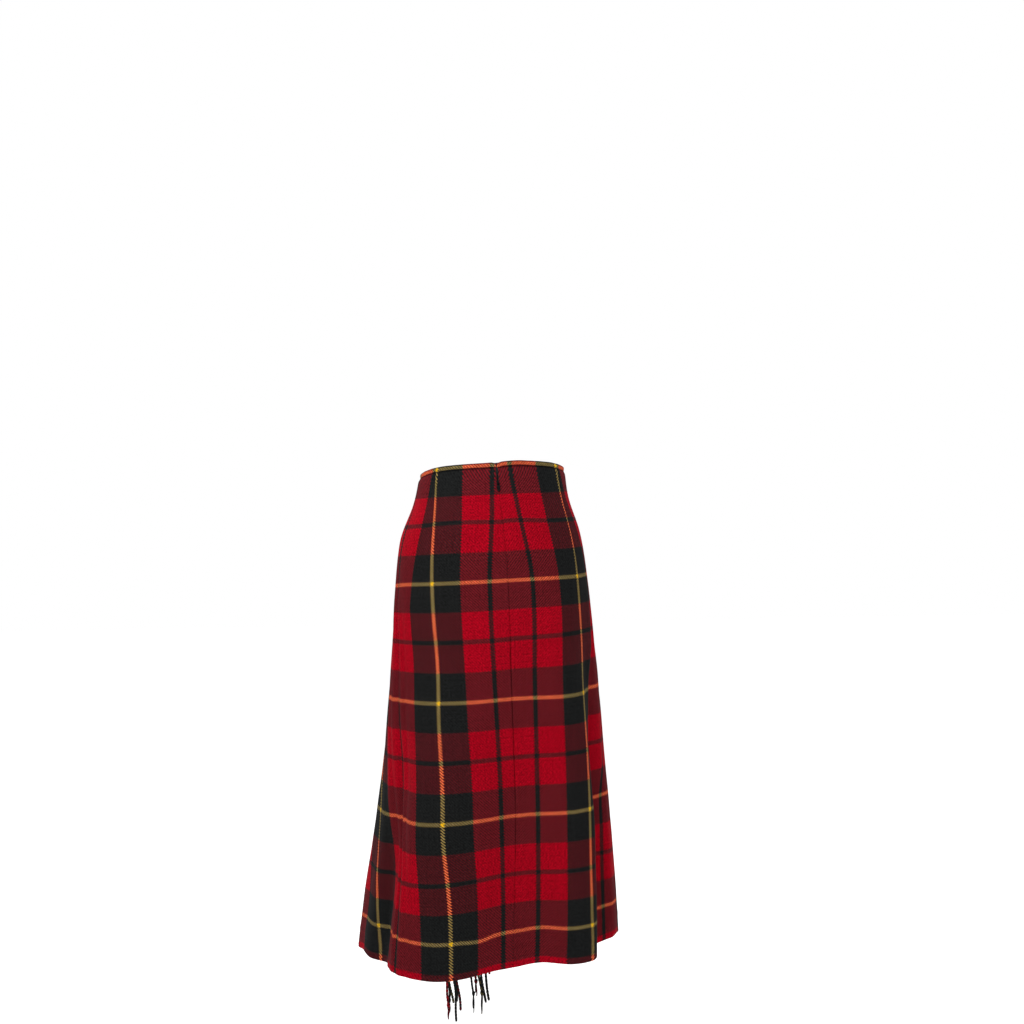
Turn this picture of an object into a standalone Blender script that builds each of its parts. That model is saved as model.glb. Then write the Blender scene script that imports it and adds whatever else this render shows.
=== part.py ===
"""A tartan kilt skirt in the form it has when worn, with nobody in it.

Two panels of one check cloth are sewn together at the centre back, where a short zip opens the waist.
Each goes round one side of the wearer. In front the left panel lies over the right one, and its free
edge is fringed. A narrow rolled edge of the same cloth finishes the waist.

Metres, +Z up. The wearer faces -Y, so the seam is on the +Y side and the wearer's left is +X.
The origin is the middle of the waist. Places on the cloth are measured down it from the waist, and
round it from the seam. Angles round a ring start at the back (+Y) and grow towards the wearer's left.
"""

import math
from collections import namedtuple

import bmesh
import bpy
from mathutils import Matrix, Vector

# Cloth
WALL = 0.0015
GAP = 0.0003
CLOTH_LENGTH = 0.724
ROLL_HEIGHT = 0.0068
ROLL_THICKNESS = 0.0032
PANEL_TOP = ROLL_HEIGHT + GAP
OVERLAP_LIFT = 0.0036
LIFT_FROM, LIFT_FULL = 92.0, 125.0

# The worn waist and hem are a little lower on the wearer's left
SIDE_TILT = 0.052

# The waist's own curve: higher at the back than in front, lower at the sides, highest right of the zip.
# It is full down to the first place, and has run out at the second
CURVE_BACK, CURVE_FRONT, CURVE_SIDES = 0.0058, 0.0020, 0.0085
CURVE_TURN, CURVE_SHARP = 9.0, 6
CREST, CREST_ANGLE, CREST_HALF_ANGLE = 0.0019, -9.5, 14.0
CURVE_FULL, CURVE_ENDS = 0.0075, 0.0190

# Rings of the skirt: how far down the cloth, and the height, half sizes and middle there
Ring = namedtuple("Ring", "down height half_width half_depth middle_x middle_y")
RINGS = (
    Ring(0.000, 0.000, 0.1080, 0.083, 0.000, 0.000),
    Ring(0.050, -0.050, 0.1170, 0.088, 0.002, 0.001),
    Ring(0.105, -0.104, 0.1360, 0.093, 0.003, 0.002),
    Ring(0.180, -0.178, 0.1455, 0.096, 0.001, 0.003),
    Ring(0.265, -0.263, 0.1525, 0.103, -0.001, 0.004),
    Ring(0.355, -0.354, 0.1600, 0.112, -0.003, 0.004),
    Ring(0.445, -0.444, 0.1660, 0.119, -0.004, 0.004),
    Ring(0.530, -0.528, 0.1745, 0.125, -0.004, 0.004),
    Ring(0.615, -0.611, 0.1835, 0.130, -0.002, 0.004),
    Ring(0.724, -0.717, 0.1940, 0.134, 0.001, 0.004),
)

# Folds: angle at the waist and at the hem, where each begins and is full, depth (out is +), half its width
Fold = namedtuple("Fold", "name angle_waist angle_hem begins full depth half_angle")
FOLDS = (
    Fold("left back lobe", 34, 39, 0.16, 0.76, 0.045, 36),
    Fold("seam hollow", -3, -3, 0.26, 0.72, -0.012, 24),
    Fold("right back lobe", -36, -33, 0.14, 0.56, 0.025, 27),
    Fold("right side valley", -60, -49, 0.20, 0.62, -0.024, 15),
    Fold("left side valley", 64, 62, 0.30, 0.72, -0.018, 18),
    Fold("left front lobe", 112, 116, 0.20, 0.72, 0.016, 26),
    Fold("front hollow", 150, 152, 0.18, 0.72, -0.012, 24),
    Fold("right front hollow", -142, -146, 0.22, 0.72, -0.010, 24),
    Fold("right front lobe", -108, -112, 0.20, 0.70, 0.018, 28),
)

# The seam: its angle, and the cloth between it and the thin dark stripe beside it on each panel
Seam = namedtuple("Seam", "down angle left_take right_take")
SEAM = (
    Seam(0.000, 5.8, 0.0057, 0.0187),
    Seam(0.080, 0.2, 0.0160, 0.0267),
    Seam(0.168, -2.0, 0.0273, 0.0365),
    Seam(0.336, -1.4, 0.0249, 0.0340),
    Seam(0.504, -2.0, 0.0210, 0.0325),
    Seam(0.672, -1.8, 0.0160, 0.0355),
    Seam(0.724, -1.8, 0.0150, 0.0355),
)

# Free edges in front: X of each panel's edge
Edge = namedtuple("Edge", "down left_x right_x")
EDGES = (
    Edge(0.000, -0.048, 0.030),
    Edge(0.168, -0.047, 0.042),
    Edge(0.336, -0.033, 0.062),
    Edge(0.504, 0.008, 0.082),
    Edge(0.724, 0.066, 0.108),
)

# Darts: where each lies on the cloth, the width it takes up at the waist, and where it ends
Dart = namedtuple("Dart", "at take ends")
DARTS = (Dart(0.0885, 0.034, 0.200), Dart(0.300, 0.034, 0.200))

# Zip
SLIT_TOP, SLIT_AT_SLIDER, SLIT_END = 0.0022, 0.0015, 0.042
SLIDER_DOWN = 0.0235
ZIP_LENGTH = 0.190
ZIP_GAP = 0.0004
INSIDE = WALL + ZIP_GAP
COIL_WIDTH, COIL_THICKNESS = 0.0036, 0.0016
TAPE_WIDTH, TAPE_THICKNESS = 0.011, 0.0010
ZIP_ROWS, TAPE_COLUMNS = 12, 3
SLIDER_BODY, SLIDER_BEVEL = (0.0036, 0.0024, 0.0090), 0.0005
NECK_WIDTH, NECK_LENGTH = 0.0018, 0.0035
CROWN = (0.0040, 0.0006, 0.0050)
AXIS_OUT = 0.0018
ARCH_WIDTH, ARCH_THICKNESS, ARCH_LENGTH = 0.0009, 0.0007, 0.0034
PULL_THICKNESS = 0.0008
PULL_LENGTH, PULL_WIDTH, PULL_TOP_WIDTH = 0.0130, 0.0052, 0.0036
PULL_ROUND_FROM, PULL_ROUND_TO, PULL_ROUND_STEPS = -10.0, 190.0, 8
WINDOW_WIDTH, WINDOW_LENGTH = 0.0019, 0.0040

# Fringe: lean is how far a strand swings sideways for each metre that it falls. The long strands reach
# below the hem, and the lowest of them hang straighter, so that two groups show there
STRAND_PITCH = 0.0125
STRAND_SIDE = 0.0026
STRAND_LENGTH, STRAND_VARIES = 0.225, 0.06
LONG_FROM, STRAIGHT_FROM = 0.590, 0.651
STRAND_LEVEL, STRAND_UNEVEN = 0.870, 0.018
STRAND_PHASE = 2.4
STRAND_REACH = 0.0030
LEAN_WAIST, LEAN_LONG, LEAN_STRAIGHT = 0.30, 0.16, 0.07
STRAND_TIP = 0.7
STRAND_STEPS = 7
STRIP_WIDTH = 0.003
FRINGE_END = 0.004
FRONT_ANGLES = 110.0, 250.0

# Mesh steps
RING_STEP = 2.0
SEAM_STEP = 0.002
BISECTIONS = 24
ROWS_NEAR_WAIST = (PANEL_TOP, 0.015, 0.0235, 0.032, 0.042, 0.058, 0.080, 0.104, 0.130)
ROW_STEP = 0.037
COLUMNS = (7, 14, 18)

# Corners of the rolled edge's section, in halves of its thickness and of its height
ROLL_SECTION = ((0.5, 1), (1, 0.5), (1, -0.5), (0.5, -1), (-0.5, -1), (-1, -0.5), (-1, 0.5), (-0.5, 1))


def smooth(rows, column, down):
    """Value of a named column at a place down the cloth, on a smooth curve through the rows."""
    places = [row.down for row in rows]
    values = [getattr(row, column) for row in rows]
    last = len(rows) - 1
    down = min(max(down, places[0]), places[last])
    i = max(k for k in range(last) if places[k] <= down)

    def slope(k):
        before, after = max(k - 1, 0), min(k + 1, last)
        return (values[after] - values[before]) / (places[after] - places[before])

    width = places[i + 1] - places[i]
    x = (down - places[i]) / width
    start = (1 + 2 * x) * (1 - x) ** 2 * values[i] + x * (1 - x) ** 2 * width * slope(i)
    end = x * x * (3 - 2 * x) * values[i + 1] + x * x * (x - 1) * width * slope(i + 1)
    return start + end


def ease(x):
    """0 to 1 with soft ends."""
    x = min(max(x, 0.0), 1.0)
    return x * x * (3 - 2 * x)


def turn_between(angle, other):
    """Difference of two angles in degrees, from -180 to 180."""
    return (angle - other + 180.0) % 360.0 - 180.0


def fold_depth(angle, down):
    """How far all folds together push the cloth out at a place."""
    total = 0.0
    for fold in FOLDS:
        middle = fold.angle_waist + (fold.angle_hem - fold.angle_waist) * down / CLOTH_LENGTH
        across = turn_between(angle, middle) / fold.half_angle
        if abs(across) < 1:
            grown = ease((down - fold.begins) / (fold.full - fold.begins))
            total += fold.depth * grown * math.cos(math.pi * across / 2) ** 2
    return total


def waist_curve(angle, down):
    """How much higher than its ring the cloth lies near the waist."""
    left = 1 - ease((down - CURVE_FULL) / (CURVE_ENDS - CURVE_FULL))
    back = (1 + math.cos(math.radians(angle))) / 2
    sides = math.sin(math.radians(angle - CURVE_TURN)) ** CURVE_SHARP
    crest = math.exp(-((turn_between(angle, CREST_ANGLE) / CREST_HALF_ANGLE) ** 2))
    level = CURVE_FRONT + (CURVE_BACK - CURVE_FRONT) * back
    return left * (level - CURVE_SIDES * sides + CREST * crest)


def cloth_point(angle, down, out=0.0):
    """Point of the outer face at an angle round the ring, moved out along the ring's own normal."""
    half_width, half_depth = smooth(RINGS, "half_width", down), smooth(RINGS, "half_depth", down)
    sine, cosine = math.sin(math.radians(angle)), math.cos(math.radians(angle))
    normal = Vector((sine * half_depth, cosine * half_width, 0)).normalized()
    middle = Vector((smooth(RINGS, "middle_x", down), smooth(RINGS, "middle_y", down), 0))
    point = middle + Vector((sine * half_width, cosine * half_depth, 0))
    point += normal * (fold_depth(angle, down) + out)
    point.z = smooth(RINGS, "height", down) - SIDE_TILT * point.x + waist_curve(angle, down)
    return point


def slit_half(down):
    """Half the gap between the two panels along the seam."""
    if down >= SLIT_END:
        return GAP / 2
    if down <= SLIDER_DOWN:
        return SLIT_TOP + (SLIT_AT_SLIDER - SLIT_TOP) * down / SLIDER_DOWN
    closing = ease((down - SLIDER_DOWN) / (SLIT_END - SLIDER_DOWN))
    return SLIT_AT_SLIDER + (GAP / 2 - SLIT_AT_SLIDER) * closing


def dart_take(dart, down):
    """Width of cloth that a dart takes up at a place down it."""
    return dart.take * max(0.0, 1 - down / dart.ends)


class Panel:
    """One side of the skirt: side is 1 for the wearer's left and -1 for the right."""

    def __init__(self, name, side, word, lift):
        self.name, self.side, self.word, self.lift = name, side, word, lift

    def out(self, angle):
        """The left panel stands off where it lies over the right one."""
        return self.lift * ease((self.side * angle - LIFT_FROM) / (LIFT_FULL - LIFT_FROM))

    def point(self, angle, down, out=0.0):
        return cloth_point(angle, down, out + self.out(angle))

    def stations(self, down):
        """Distances round the finished panel of the seam, the two darts and the free edge."""
        seam = smooth(SEAM, self.word + "_take", down)
        found, taken = [slit_half(down)], 0.0
        for dart in DARTS:
            found.append(dart.at + seam - taken)
            taken += dart_take(dart, down)
        edge = self.front_angle(smooth(EDGES, self.word + "_x", down), down)
        steps = self.walk(down)
        i = max(k for k in range(len(steps) - 1) if self.side * steps[k][1] <= self.side * edge)
        (near, start), (far, end) = steps[i], steps[i + 1]
        return found + [near + (far - near) * (edge - start) / (end - start)]

    def front_angle(self, x, down):
        """Angle of the point in front that lies at X on a ring."""
        low, high = FRONT_ANGLES
        for _ in range(BISECTIONS):
            middle = (low + high) / 2
            short = self.side * self.point(self.side * middle, down).x > self.side * x
            low, high = (middle, high) if short else (low, middle)
        return self.side * low

    def walk(self, down):
        """Distance from the seam at each step of angle round the panel."""
        angle, travelled = smooth(SEAM, "angle", down), 0.0
        steps, last = [(0.0, angle)], self.point(angle, down)
        while self.side * angle < FRONT_ANGLES[1]:
            angle += self.side * RING_STEP
            here = self.point(angle, down)
            travelled += (here - last).length
            steps.append((travelled, angle))
            last = here
        return steps

    def angles(self, down, distances):
        """Angle of each distance round the panel from the seam."""
        steps, found = self.walk(down), []
        for distance in distances:
            i = max(k for k in range(len(steps) - 1) if steps[k][0] <= max(distance, 0.0))
            (near, start), (far, end) = steps[i], steps[i + 1]
            found.append(start + (end - start) * (distance - near) / (far - near))
        return found

    def columns(self, down):
        """Distances of the mesh's columns, with one on each dart."""
        marks, found = self.stations(down), []
        for i, count in enumerate(COLUMNS):
            found += [marks[i] + (marks[i + 1] - marks[i]) * k / count for k in range(count)]
        return found + [marks[-1]]


LEFT = Panel("left_panel", 1, "left", OVERLAP_LIFT)
RIGHT = Panel("right_panel", -1, "right", 0.0)


def panel_rows():
    """Places down the cloth of the mesh's rows, closer together near the waist."""
    rest = CLOTH_LENGTH - ROWS_NEAR_WAIST[-1]
    count = round(rest / ROW_STEP)
    return list(ROWS_NEAR_WAIST) + [ROWS_NEAR_WAIST[-1] + rest * k / count for k in range(1, count + 1)]


def material(name, colour, roughness, metallic=0.0):
    made = bpy.data.materials.new(name)
    made.use_nodes = True
    shader = made.node_tree.nodes["Principled BSDF"]
    shader.inputs["Base Color"].default_value = (*colour, 1)
    shader.inputs["Roughness"].default_value = roughness
    shader.inputs["Metallic"].default_value = metallic
    made.diffuse_color = (*colour, 1)
    return made


def mesh_object(name, bm, collection, finish):
    """Turns a bmesh into an object of the part."""
    mesh = bpy.data.meshes.new(name)
    bm.to_mesh(mesh)
    bm.free()
    mesh.materials.append(finish)
    made = bpy.data.objects.new(name, mesh)
    collection.objects.link(made)
    return made


def solid_object(name, bm, collection, finish):
    """The same for a closed body, with its faces turned out."""
    bmesh.ops.recalc_face_normals(bm, faces=bm.faces)
    return mesh_object(name, bm, collection, finish)


def loft(bm, rings, closed_rings=False):
    """Quads between rows of points. Returns the rows of vertices."""
    rows = [[bm.verts.new(point) for point in ring] for ring in rings]
    for upper, lower in zip(rows, rows[1:]):
        count = len(upper) if closed_rings else len(upper) - 1
        for k in range(count):
            n = (k + 1) % len(upper)
            bm.faces.new((upper[k], upper[n], lower[n], lower[k]))
    return rows


def capped_loft(bm, rings):
    """A closed solid through rings of points."""
    rows = loft(bm, rings, closed_rings=True)
    bm.faces.new(rows[0])
    bm.faces.new(reversed(rows[-1]))


def build_panel(panel, collection, finish):
    """The panel's outer face as an open sheet, with its wall added inwards."""
    bm = bmesh.new()
    rings = []
    for down in panel_rows():
        angles = panel.angles(down, panel.columns(down))
        ring = [panel.point(angle, down) for angle in angles]
        rings.append(ring[:: panel.side])
    loft(bm, rings)
    made = mesh_object(panel.name, bm, collection, finish)
    wall = made.modifiers.new("wall", "SOLIDIFY")
    wall.thickness = WALL
    wall.offset = -1
    wall.use_even_offset = True
    wall.use_quality_normals = True
    return made


def build_roll(name, panel, collection, finish):
    """The rolled edge above a panel: an eight sided section taken along the waist."""
    bm = bmesh.new()
    half_height, half_out = ROLL_HEIGHT / 2, ROLL_THICKNESS / 2
    rings = []
    for angle in panel.angles(half_height, panel.columns(half_height)):
        ring = []
        for across, up in ROLL_SECTION:
            point = panel.point(angle, half_height, across * half_out - WALL / 2)
            point.z += up * half_height
            ring.append(point)
        rings.append(ring)
    capped_loft(bm, rings)
    return solid_object(name, bm, collection, finish)


def seam_frame(down):
    """Point of the seam on the outer face, with the directions across (to the left), out and down."""
    angle = smooth(SEAM, "angle", down)
    here, below = cloth_point(angle, down), down + SEAM_STEP
    along = cloth_point(smooth(SEAM, "angle", below), below) - here
    across = (cloth_point(angle + 1, down) - cloth_point(angle - 1, down)).normalized()
    along = (along - across * along.dot(across)).normalized()
    return here, across, across.cross(along), along


def turned_to(directions, place):
    """Matrix whose X, Y and Z axes run along three directions from a place."""
    return Matrix.LocRotScale(place, Matrix(directions).transposed(), None)


def zip_rows(from_down, to_down):
    return [from_down + (to_down - from_down) * k / ZIP_ROWS for k in range(ZIP_ROWS + 1)]


def build_coil(from_down, collection, finish):
    """The closed coil, a strip that follows the seam inside the panels."""
    bm = bmesh.new()
    half, outer, inner = COIL_WIDTH / 2, INSIDE, INSIDE + COIL_THICKNESS
    rings = []
    for down in zip_rows(from_down, ZIP_LENGTH):
        here, across, out, _ = seam_frame(down)
        corners = ((-half, outer), (half, outer), (half, inner), (-half, inner))
        rings.append([here + across * x - out * depth for x, depth in corners])
    capped_loft(bm, rings)
    return solid_object("zip_coil", bm, collection, finish)


def build_tape(name, panel, collection, finish):
    """A zip tape inside a panel, made from the panel's points beside the seam."""
    bm = bmesh.new()
    near = COIL_WIDTH / 2 + GAP
    across = [near + TAPE_WIDTH * k / TAPE_COLUMNS for k in range(TAPE_COLUMNS + 1)]
    rings = []
    for down in zip_rows(PANEL_TOP, ZIP_LENGTH):
        angles = panel.angles(down, across)
        outer = [panel.point(angle, down, -INSIDE) for angle in angles]
        inner = [panel.point(angle, down, -INSIDE - TAPE_THICKNESS) for angle in reversed(angles)]
        rings.append(outer + inner)
    capped_loft(bm, rings)
    return solid_object(name, bm, collection, finish)


def slider_block(name, size, middle, collection, finish, bevel=0.0):
    """One block of the slider. X is across, Y is out of the cloth and Z is up, from the hinge axis."""
    bm = bmesh.new()
    corners = bmesh.ops.create_cube(bm, size=1.0)["verts"]
    bmesh.ops.scale(bm, verts=corners, vec=size)
    bmesh.ops.translate(bm, verts=corners, vec=middle)
    if bevel:
        bmesh.ops.bevel(bm, geom=bm.edges[:], offset=bevel, segments=1, affect="EDGES", profile=0.5)
    made = solid_object(name, bm, collection, finish)
    here, across, out, along = seam_frame(SLIDER_DOWN)
    made.matrix_world = turned_to((across, out, -along), here + out * AXIS_OUT)
    return made


def build_slider(collection, cutters, finish):
    """The slider: a body inside the cloth, a neck through the slit, a crown plate and a small arch."""
    inside = -AXIS_OUT - INSIDE
    crown_out = -AXIS_OUT + GAP
    crown_top = crown_out + CROWN[1]
    arch_top = -crown_top + ARCH_THICKNESS
    neck = (NECK_WIDTH, crown_out - inside + GAP * 2, NECK_LENGTH)
    bar = (ARCH_WIDTH, ARCH_THICKNESS, ARCH_LENGTH + 2 * ARCH_THICKNESS)
    leg = (ARCH_WIDTH, arch_top - crown_top + GAP, ARCH_THICKNESS)
    leg_out, leg_up = (crown_top + arch_top - GAP) / 2, (ARCH_LENGTH + ARCH_THICKNESS) / 2
    blocks = (
        (neck, (0, (crown_out + inside) / 2, 0)),
        (CROWN, (0, crown_out + CROWN[1] / 2, 0)),
        (bar, (0, arch_top - ARCH_THICKNESS / 2, 0)),
        (leg, (0, leg_out, leg_up)),
        (leg, (0, leg_out, -leg_up)),
    )
    body_out = inside - SLIDER_BODY[1] / 2
    body = slider_block("zip_slider", SLIDER_BODY, (0, body_out, 0), collection, finish, SLIDER_BEVEL)
    for i, (size, middle) in enumerate(blocks):
        piece = slider_block(f"slider_join_{i}", size, middle, cutters, finish)
        piece.hide_render = True
        piece.display_type = "WIRE"
        join = body.modifiers.new(f"join {i}", "BOOLEAN")
        join.operation = "UNION"
        join.solver = "EXACT"
        join.object = piece
    return body


def build_pull(collection, finish):
    """The drop shaped pull: a flat outline with a window, whose top bar runs under the slider's arch."""
    outline = bpy.data.curves.new("zip_pull", "CURVE")
    outline.dimensions = "2D"
    outline.fill_mode = "BOTH"
    outline.extrude = PULL_THICKNESS / 2
    top = PULL_THICKNESS / 2
    round_middle = PULL_LENGTH - top - PULL_WIDTH / 2
    points = [(-PULL_TOP_WIDTH / 2, top), (PULL_TOP_WIDTH / 2, top)]
    for step in range(PULL_ROUND_STEPS + 1):
        turned = PULL_ROUND_FROM + (PULL_ROUND_TO - PULL_ROUND_FROM) * step / PULL_ROUND_STEPS
        turn = math.radians(turned)
        points.append((math.cos(turn) * PULL_WIDTH / 2, -round_middle - math.sin(turn) * PULL_WIDTH / 2))
    window = [
        (-WINDOW_WIDTH / 2, -top),
        (WINDOW_WIDTH / 2, -top),
        (WINDOW_WIDTH / 2, -top - WINDOW_LENGTH),
        (-WINDOW_WIDTH / 2, -top - WINDOW_LENGTH),
    ]
    for loop in (points, window):
        spline = outline.splines.new("POLY")
        spline.points.add(len(loop) - 1)
        for spline_point, (x, y) in zip(spline.points, loop):
            spline_point.co = (x, y, 0, 1)
        spline.use_cyclic_u = True
    made = bpy.data.objects.new("zip_pull", outline)
    outline.materials.append(finish)
    collection.objects.link(made)
    here, across, out, along = seam_frame(SLIDER_DOWN)
    made.matrix_world = turned_to((across, -along, across.cross(-along)), here + out * AXIS_OUT)
    return made


def strand_starts():
    """Places down the free edge where a strand starts, from the hem up."""
    last = CLOTH_LENGTH - FRINGE_END
    count = int((last - PANEL_TOP - FRINGE_END) / STRAND_PITCH) + 1
    return [last - STRAND_PITCH * k for k in range(count)]


def strand_length(down, number):
    """Strands vary a little, and the long ones are trimmed to about one level."""
    uneven = math.sin(number * STRAND_PHASE)
    if down > LONG_FROM:
        return STRAND_LEVEL + STRAND_UNEVEN * uneven - down
    return STRAND_LENGTH * (1 + STRAND_VARIES * uneven)


def strand_lean(down):
    """How far a strand that starts there swings sideways for each metre that it falls."""
    if down > STRAIGHT_FROM:
        return LEAN_STRAIGHT
    return LEAN_WAIST + (LEAN_LONG - LEAN_WAIST) * down / STRAIGHT_FROM


def strand_rings(panel, down, number, first):
    """Sections of a strand, from a bend beside its root to its end, that hang over the cloth in front."""
    length, half, lean = strand_length(down, number), STRAND_SIDE / 2, strand_lean(down)
    start = first.x - STRAND_REACH
    rings = []
    for step in range(STRAND_STEPS + 1):
        fallen = half + (length - half) * step / STRAND_STEPS
        low = min(down + fallen, CLOTH_LENGTH)
        angle = panel.front_angle(start - lean * fallen, low)
        middle = panel.point(angle, low, -half)
        middle.z -= down + fallen - low
        away = panel.point(angle + 1, low) - panel.point(angle, low)
        away.z = 0
        away.normalize()
        out = Vector((away.y, -away.x, 0))
        up = Vector((0, 0, half)) if step == 0 else Vector((0, 0, 0))
        thick = half * (STRAND_TIP if step == STRAND_STEPS else 1)
        far, near = middle + away * thick + up, middle - away * thick - up
        rings.append([far + out * thick, far - out * thick, near - out * thick, near + out * thick])
    return rings


def build_fringe(panel, collection, finish):
    """A narrow strip beside the free edge, with a strand drawn out of its side at each start."""
    bm = bmesh.new()
    half = STRAND_SIDE / 2
    starts = sorted(strand_starts())
    marks = [PANEL_TOP] + [mark for start in starts for mark in (start - half, start + half)] + [CLOTH_LENGTH]
    rings = []
    for down in marks:
        edge = panel.stations(down)[-1]
        inner, outer = panel.angles(down, [edge + GAP, edge + GAP + STRIP_WIDTH])
        corners = ((inner, 0), (outer, 0), (outer, -STRAND_SIDE), (inner, -STRAND_SIDE))
        rings.append([panel.point(angle, down, out) for angle, out in corners])
    capped_loft(bm, rings)
    bm.verts.ensure_lookup_table()
    for number, start in enumerate(starts):
        upper, lower = 4 * (2 * number + 1), 4 * (2 * number + 2)
        root = [bm.verts[i] for i in (upper + 1, upper + 2, lower + 2, lower + 1)]
        bm.faces.remove(bm.faces.get(root))
        middle = sum((vert.co for vert in root), Vector()) / len(root)
        above = root
        for ring in strand_rings(panel, start, number, middle):
            below = [bm.verts.new(point) for point in ring]
            for k, vert in enumerate(above):
                n = (k + 1) % len(above)
                bm.faces.new((vert, above[n], below[n], below[k]))
            above = below
        bm.faces.new(above)
        bm.verts.ensure_lookup_table()
    return solid_object("apron_fringe", bm, collection, finish)


def main():
    for old in list(bpy.data.objects):
        bpy.data.objects.remove(old, do_unlink=True)
    scene = bpy.context.scene.collection
    kilt, cutters = bpy.data.collections.new("kilt"), bpy.data.collections.new("cutters")
    scene.children.link(kilt)
    scene.children.link(cutters)
    cutters.hide_render = True

    left_cloth = material("left_cloth", (0.39, 0.012, 0.016), 0.9)
    right_cloth = material("right_cloth", (0.33, 0.010, 0.014), 0.9)
    roll_cloth = material("roll_cloth", (0.42, 0.050, 0.020), 0.9)
    yarn = material("fringe_yarn", (0.060, 0.010, 0.012), 0.95)
    tape = material("zip_tape", (0.015, 0.014, 0.014), 0.85)
    coil = material("zip_coil", (0.012, 0.012, 0.012), 0.45)
    metal = material("black_metal", (0.010, 0.010, 0.011), 0.35, 0.9)

    build_panel(LEFT, kilt, left_cloth)
    build_panel(RIGHT, kilt, right_cloth)
    build_roll("waist_edge_left", LEFT, kilt, roll_cloth)
    build_roll("waist_edge_right", RIGHT, kilt, roll_cloth)
    build_fringe(LEFT, kilt, yarn)

    build_tape("zip_tape_left", LEFT, kilt, tape)
    build_tape("zip_tape_right", RIGHT, kilt, tape)
    build_coil(SLIDER_DOWN + SLIDER_BODY[2] / 2 + GAP, kilt, coil)
    build_slider(kilt, cutters, metal)
    build_pull(kilt, metal)


if __name__ == "__main__":
    main()
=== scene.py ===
"""A worn check skirt with a back zip and a fringed wrap front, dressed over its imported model.

Metres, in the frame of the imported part: +Z up, the wearer faces -Y, and the wearer's left is +X. A place
on the cloth is measured down it from the waist, and round it from the seam at the centre back. Angles
round a ring start at the back and grow towards the wearer's left.
"""

from __future__ import annotations

import logging
import math
import random
from dataclasses import dataclass, field
from enum import Enum
from typing import Any, Callable, Sequence

import bmesh
import bpy
from mathutils import Matrix, Vector, noise

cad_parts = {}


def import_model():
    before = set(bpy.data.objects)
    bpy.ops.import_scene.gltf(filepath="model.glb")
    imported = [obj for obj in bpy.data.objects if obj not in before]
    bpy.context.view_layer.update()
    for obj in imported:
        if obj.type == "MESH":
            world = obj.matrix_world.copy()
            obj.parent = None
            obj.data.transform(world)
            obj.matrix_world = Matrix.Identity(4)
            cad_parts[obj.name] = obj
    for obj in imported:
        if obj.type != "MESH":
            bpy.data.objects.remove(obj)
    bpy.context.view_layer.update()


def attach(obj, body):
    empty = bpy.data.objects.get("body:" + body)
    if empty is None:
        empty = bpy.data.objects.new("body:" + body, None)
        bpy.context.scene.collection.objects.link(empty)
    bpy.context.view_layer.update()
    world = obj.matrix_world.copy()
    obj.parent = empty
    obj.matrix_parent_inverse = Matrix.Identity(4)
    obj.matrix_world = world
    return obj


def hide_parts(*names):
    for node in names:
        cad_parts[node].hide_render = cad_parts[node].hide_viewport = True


LOG = logging.getLogger("kilt")
SKIRT, PULL = "skirt", "pull"
Colour = tuple[float, float, float, float]


@dataclass(frozen=True)
class Ring:
    """A ring of the skirt: how far down the cloth, and its height, half sizes and middle."""

    down: float
    height: float
    half_width: float
    half_depth: float
    middle_x: float
    middle_y: float


@dataclass(frozen=True)
class Fold:
    """A large fold: its angle at the waist and hem, where it begins and is full, depth and half angle."""

    name: str
    angle_waist: float
    angle_hem: float
    begins: float
    full: float
    depth: float
    half_angle: float


@dataclass(frozen=True)
class SeamPlace:
    """The seam's angle, and the cloth between it and the thin dark stripe beside it on each panel."""

    down: float
    angle: float
    left_take: float
    right_take: float


@dataclass(frozen=True)
class EdgePlace:
    """X of each panel's free edge in front."""

    down: float
    left_x: float
    right_x: float


@dataclass(frozen=True)
class Dart:
    """A dart: where it lies on the cloth, the width it takes up at the waist, and where it ends."""

    at: float
    take: float
    ends: float


RINGS = (
    Ring(0.000, 0.000, 0.1080, 0.083, 0.000, 0.000),
    Ring(0.050, -0.050, 0.1170, 0.088, 0.002, 0.001),
    Ring(0.105, -0.104, 0.1360, 0.093, 0.003, 0.002),
    Ring(0.180, -0.178, 0.1455, 0.096, 0.001, 0.003),
    Ring(0.265, -0.263, 0.1525, 0.103, -0.001, 0.004),
    Ring(0.355, -0.354, 0.1600, 0.112, -0.003, 0.004),
    Ring(0.445, -0.444, 0.1660, 0.119, -0.004, 0.004),
    Ring(0.530, -0.528, 0.1745, 0.125, -0.004, 0.004),
    Ring(0.615, -0.611, 0.1835, 0.130, -0.002, 0.004),
    Ring(0.724, -0.717, 0.1940, 0.134, 0.001, 0.004),
)
FOLDS = (
    Fold("left back lobe", 34, 39, 0.16, 0.76, 0.045, 36),
    Fold("seam hollow", -3, -3, 0.26, 0.72, -0.012, 24),
    Fold("right back lobe", -36, -33, 0.14, 0.56, 0.025, 27),
    Fold("right side valley", -60, -49, 0.20, 0.62, -0.024, 15),
    Fold("left side valley", 64, 62, 0.30, 0.72, -0.018, 18),
    Fold("left front lobe", 112, 116, 0.20, 0.72, 0.016, 26),
    Fold("front hollow", 150, 152, 0.18, 0.72, -0.012, 24),
    Fold("right front hollow", -142, -146, 0.22, 0.72, -0.010, 24),
    Fold("right front lobe", -108, -112, 0.20, 0.70, 0.018, 28),
)
SEAM = (
    SeamPlace(0.000, 5.8, 0.0057, 0.0187),
    SeamPlace(0.080, 0.2, 0.0160, 0.0267),
    SeamPlace(0.168, -2.0, 0.0273, 0.0365),
    SeamPlace(0.336, -1.4, 0.0249, 0.0340),
    SeamPlace(0.504, -2.0, 0.0210, 0.0325),
    SeamPlace(0.672, -1.8, 0.0160, 0.0355),
    SeamPlace(0.724, -1.8, 0.0150, 0.0355),
)
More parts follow.
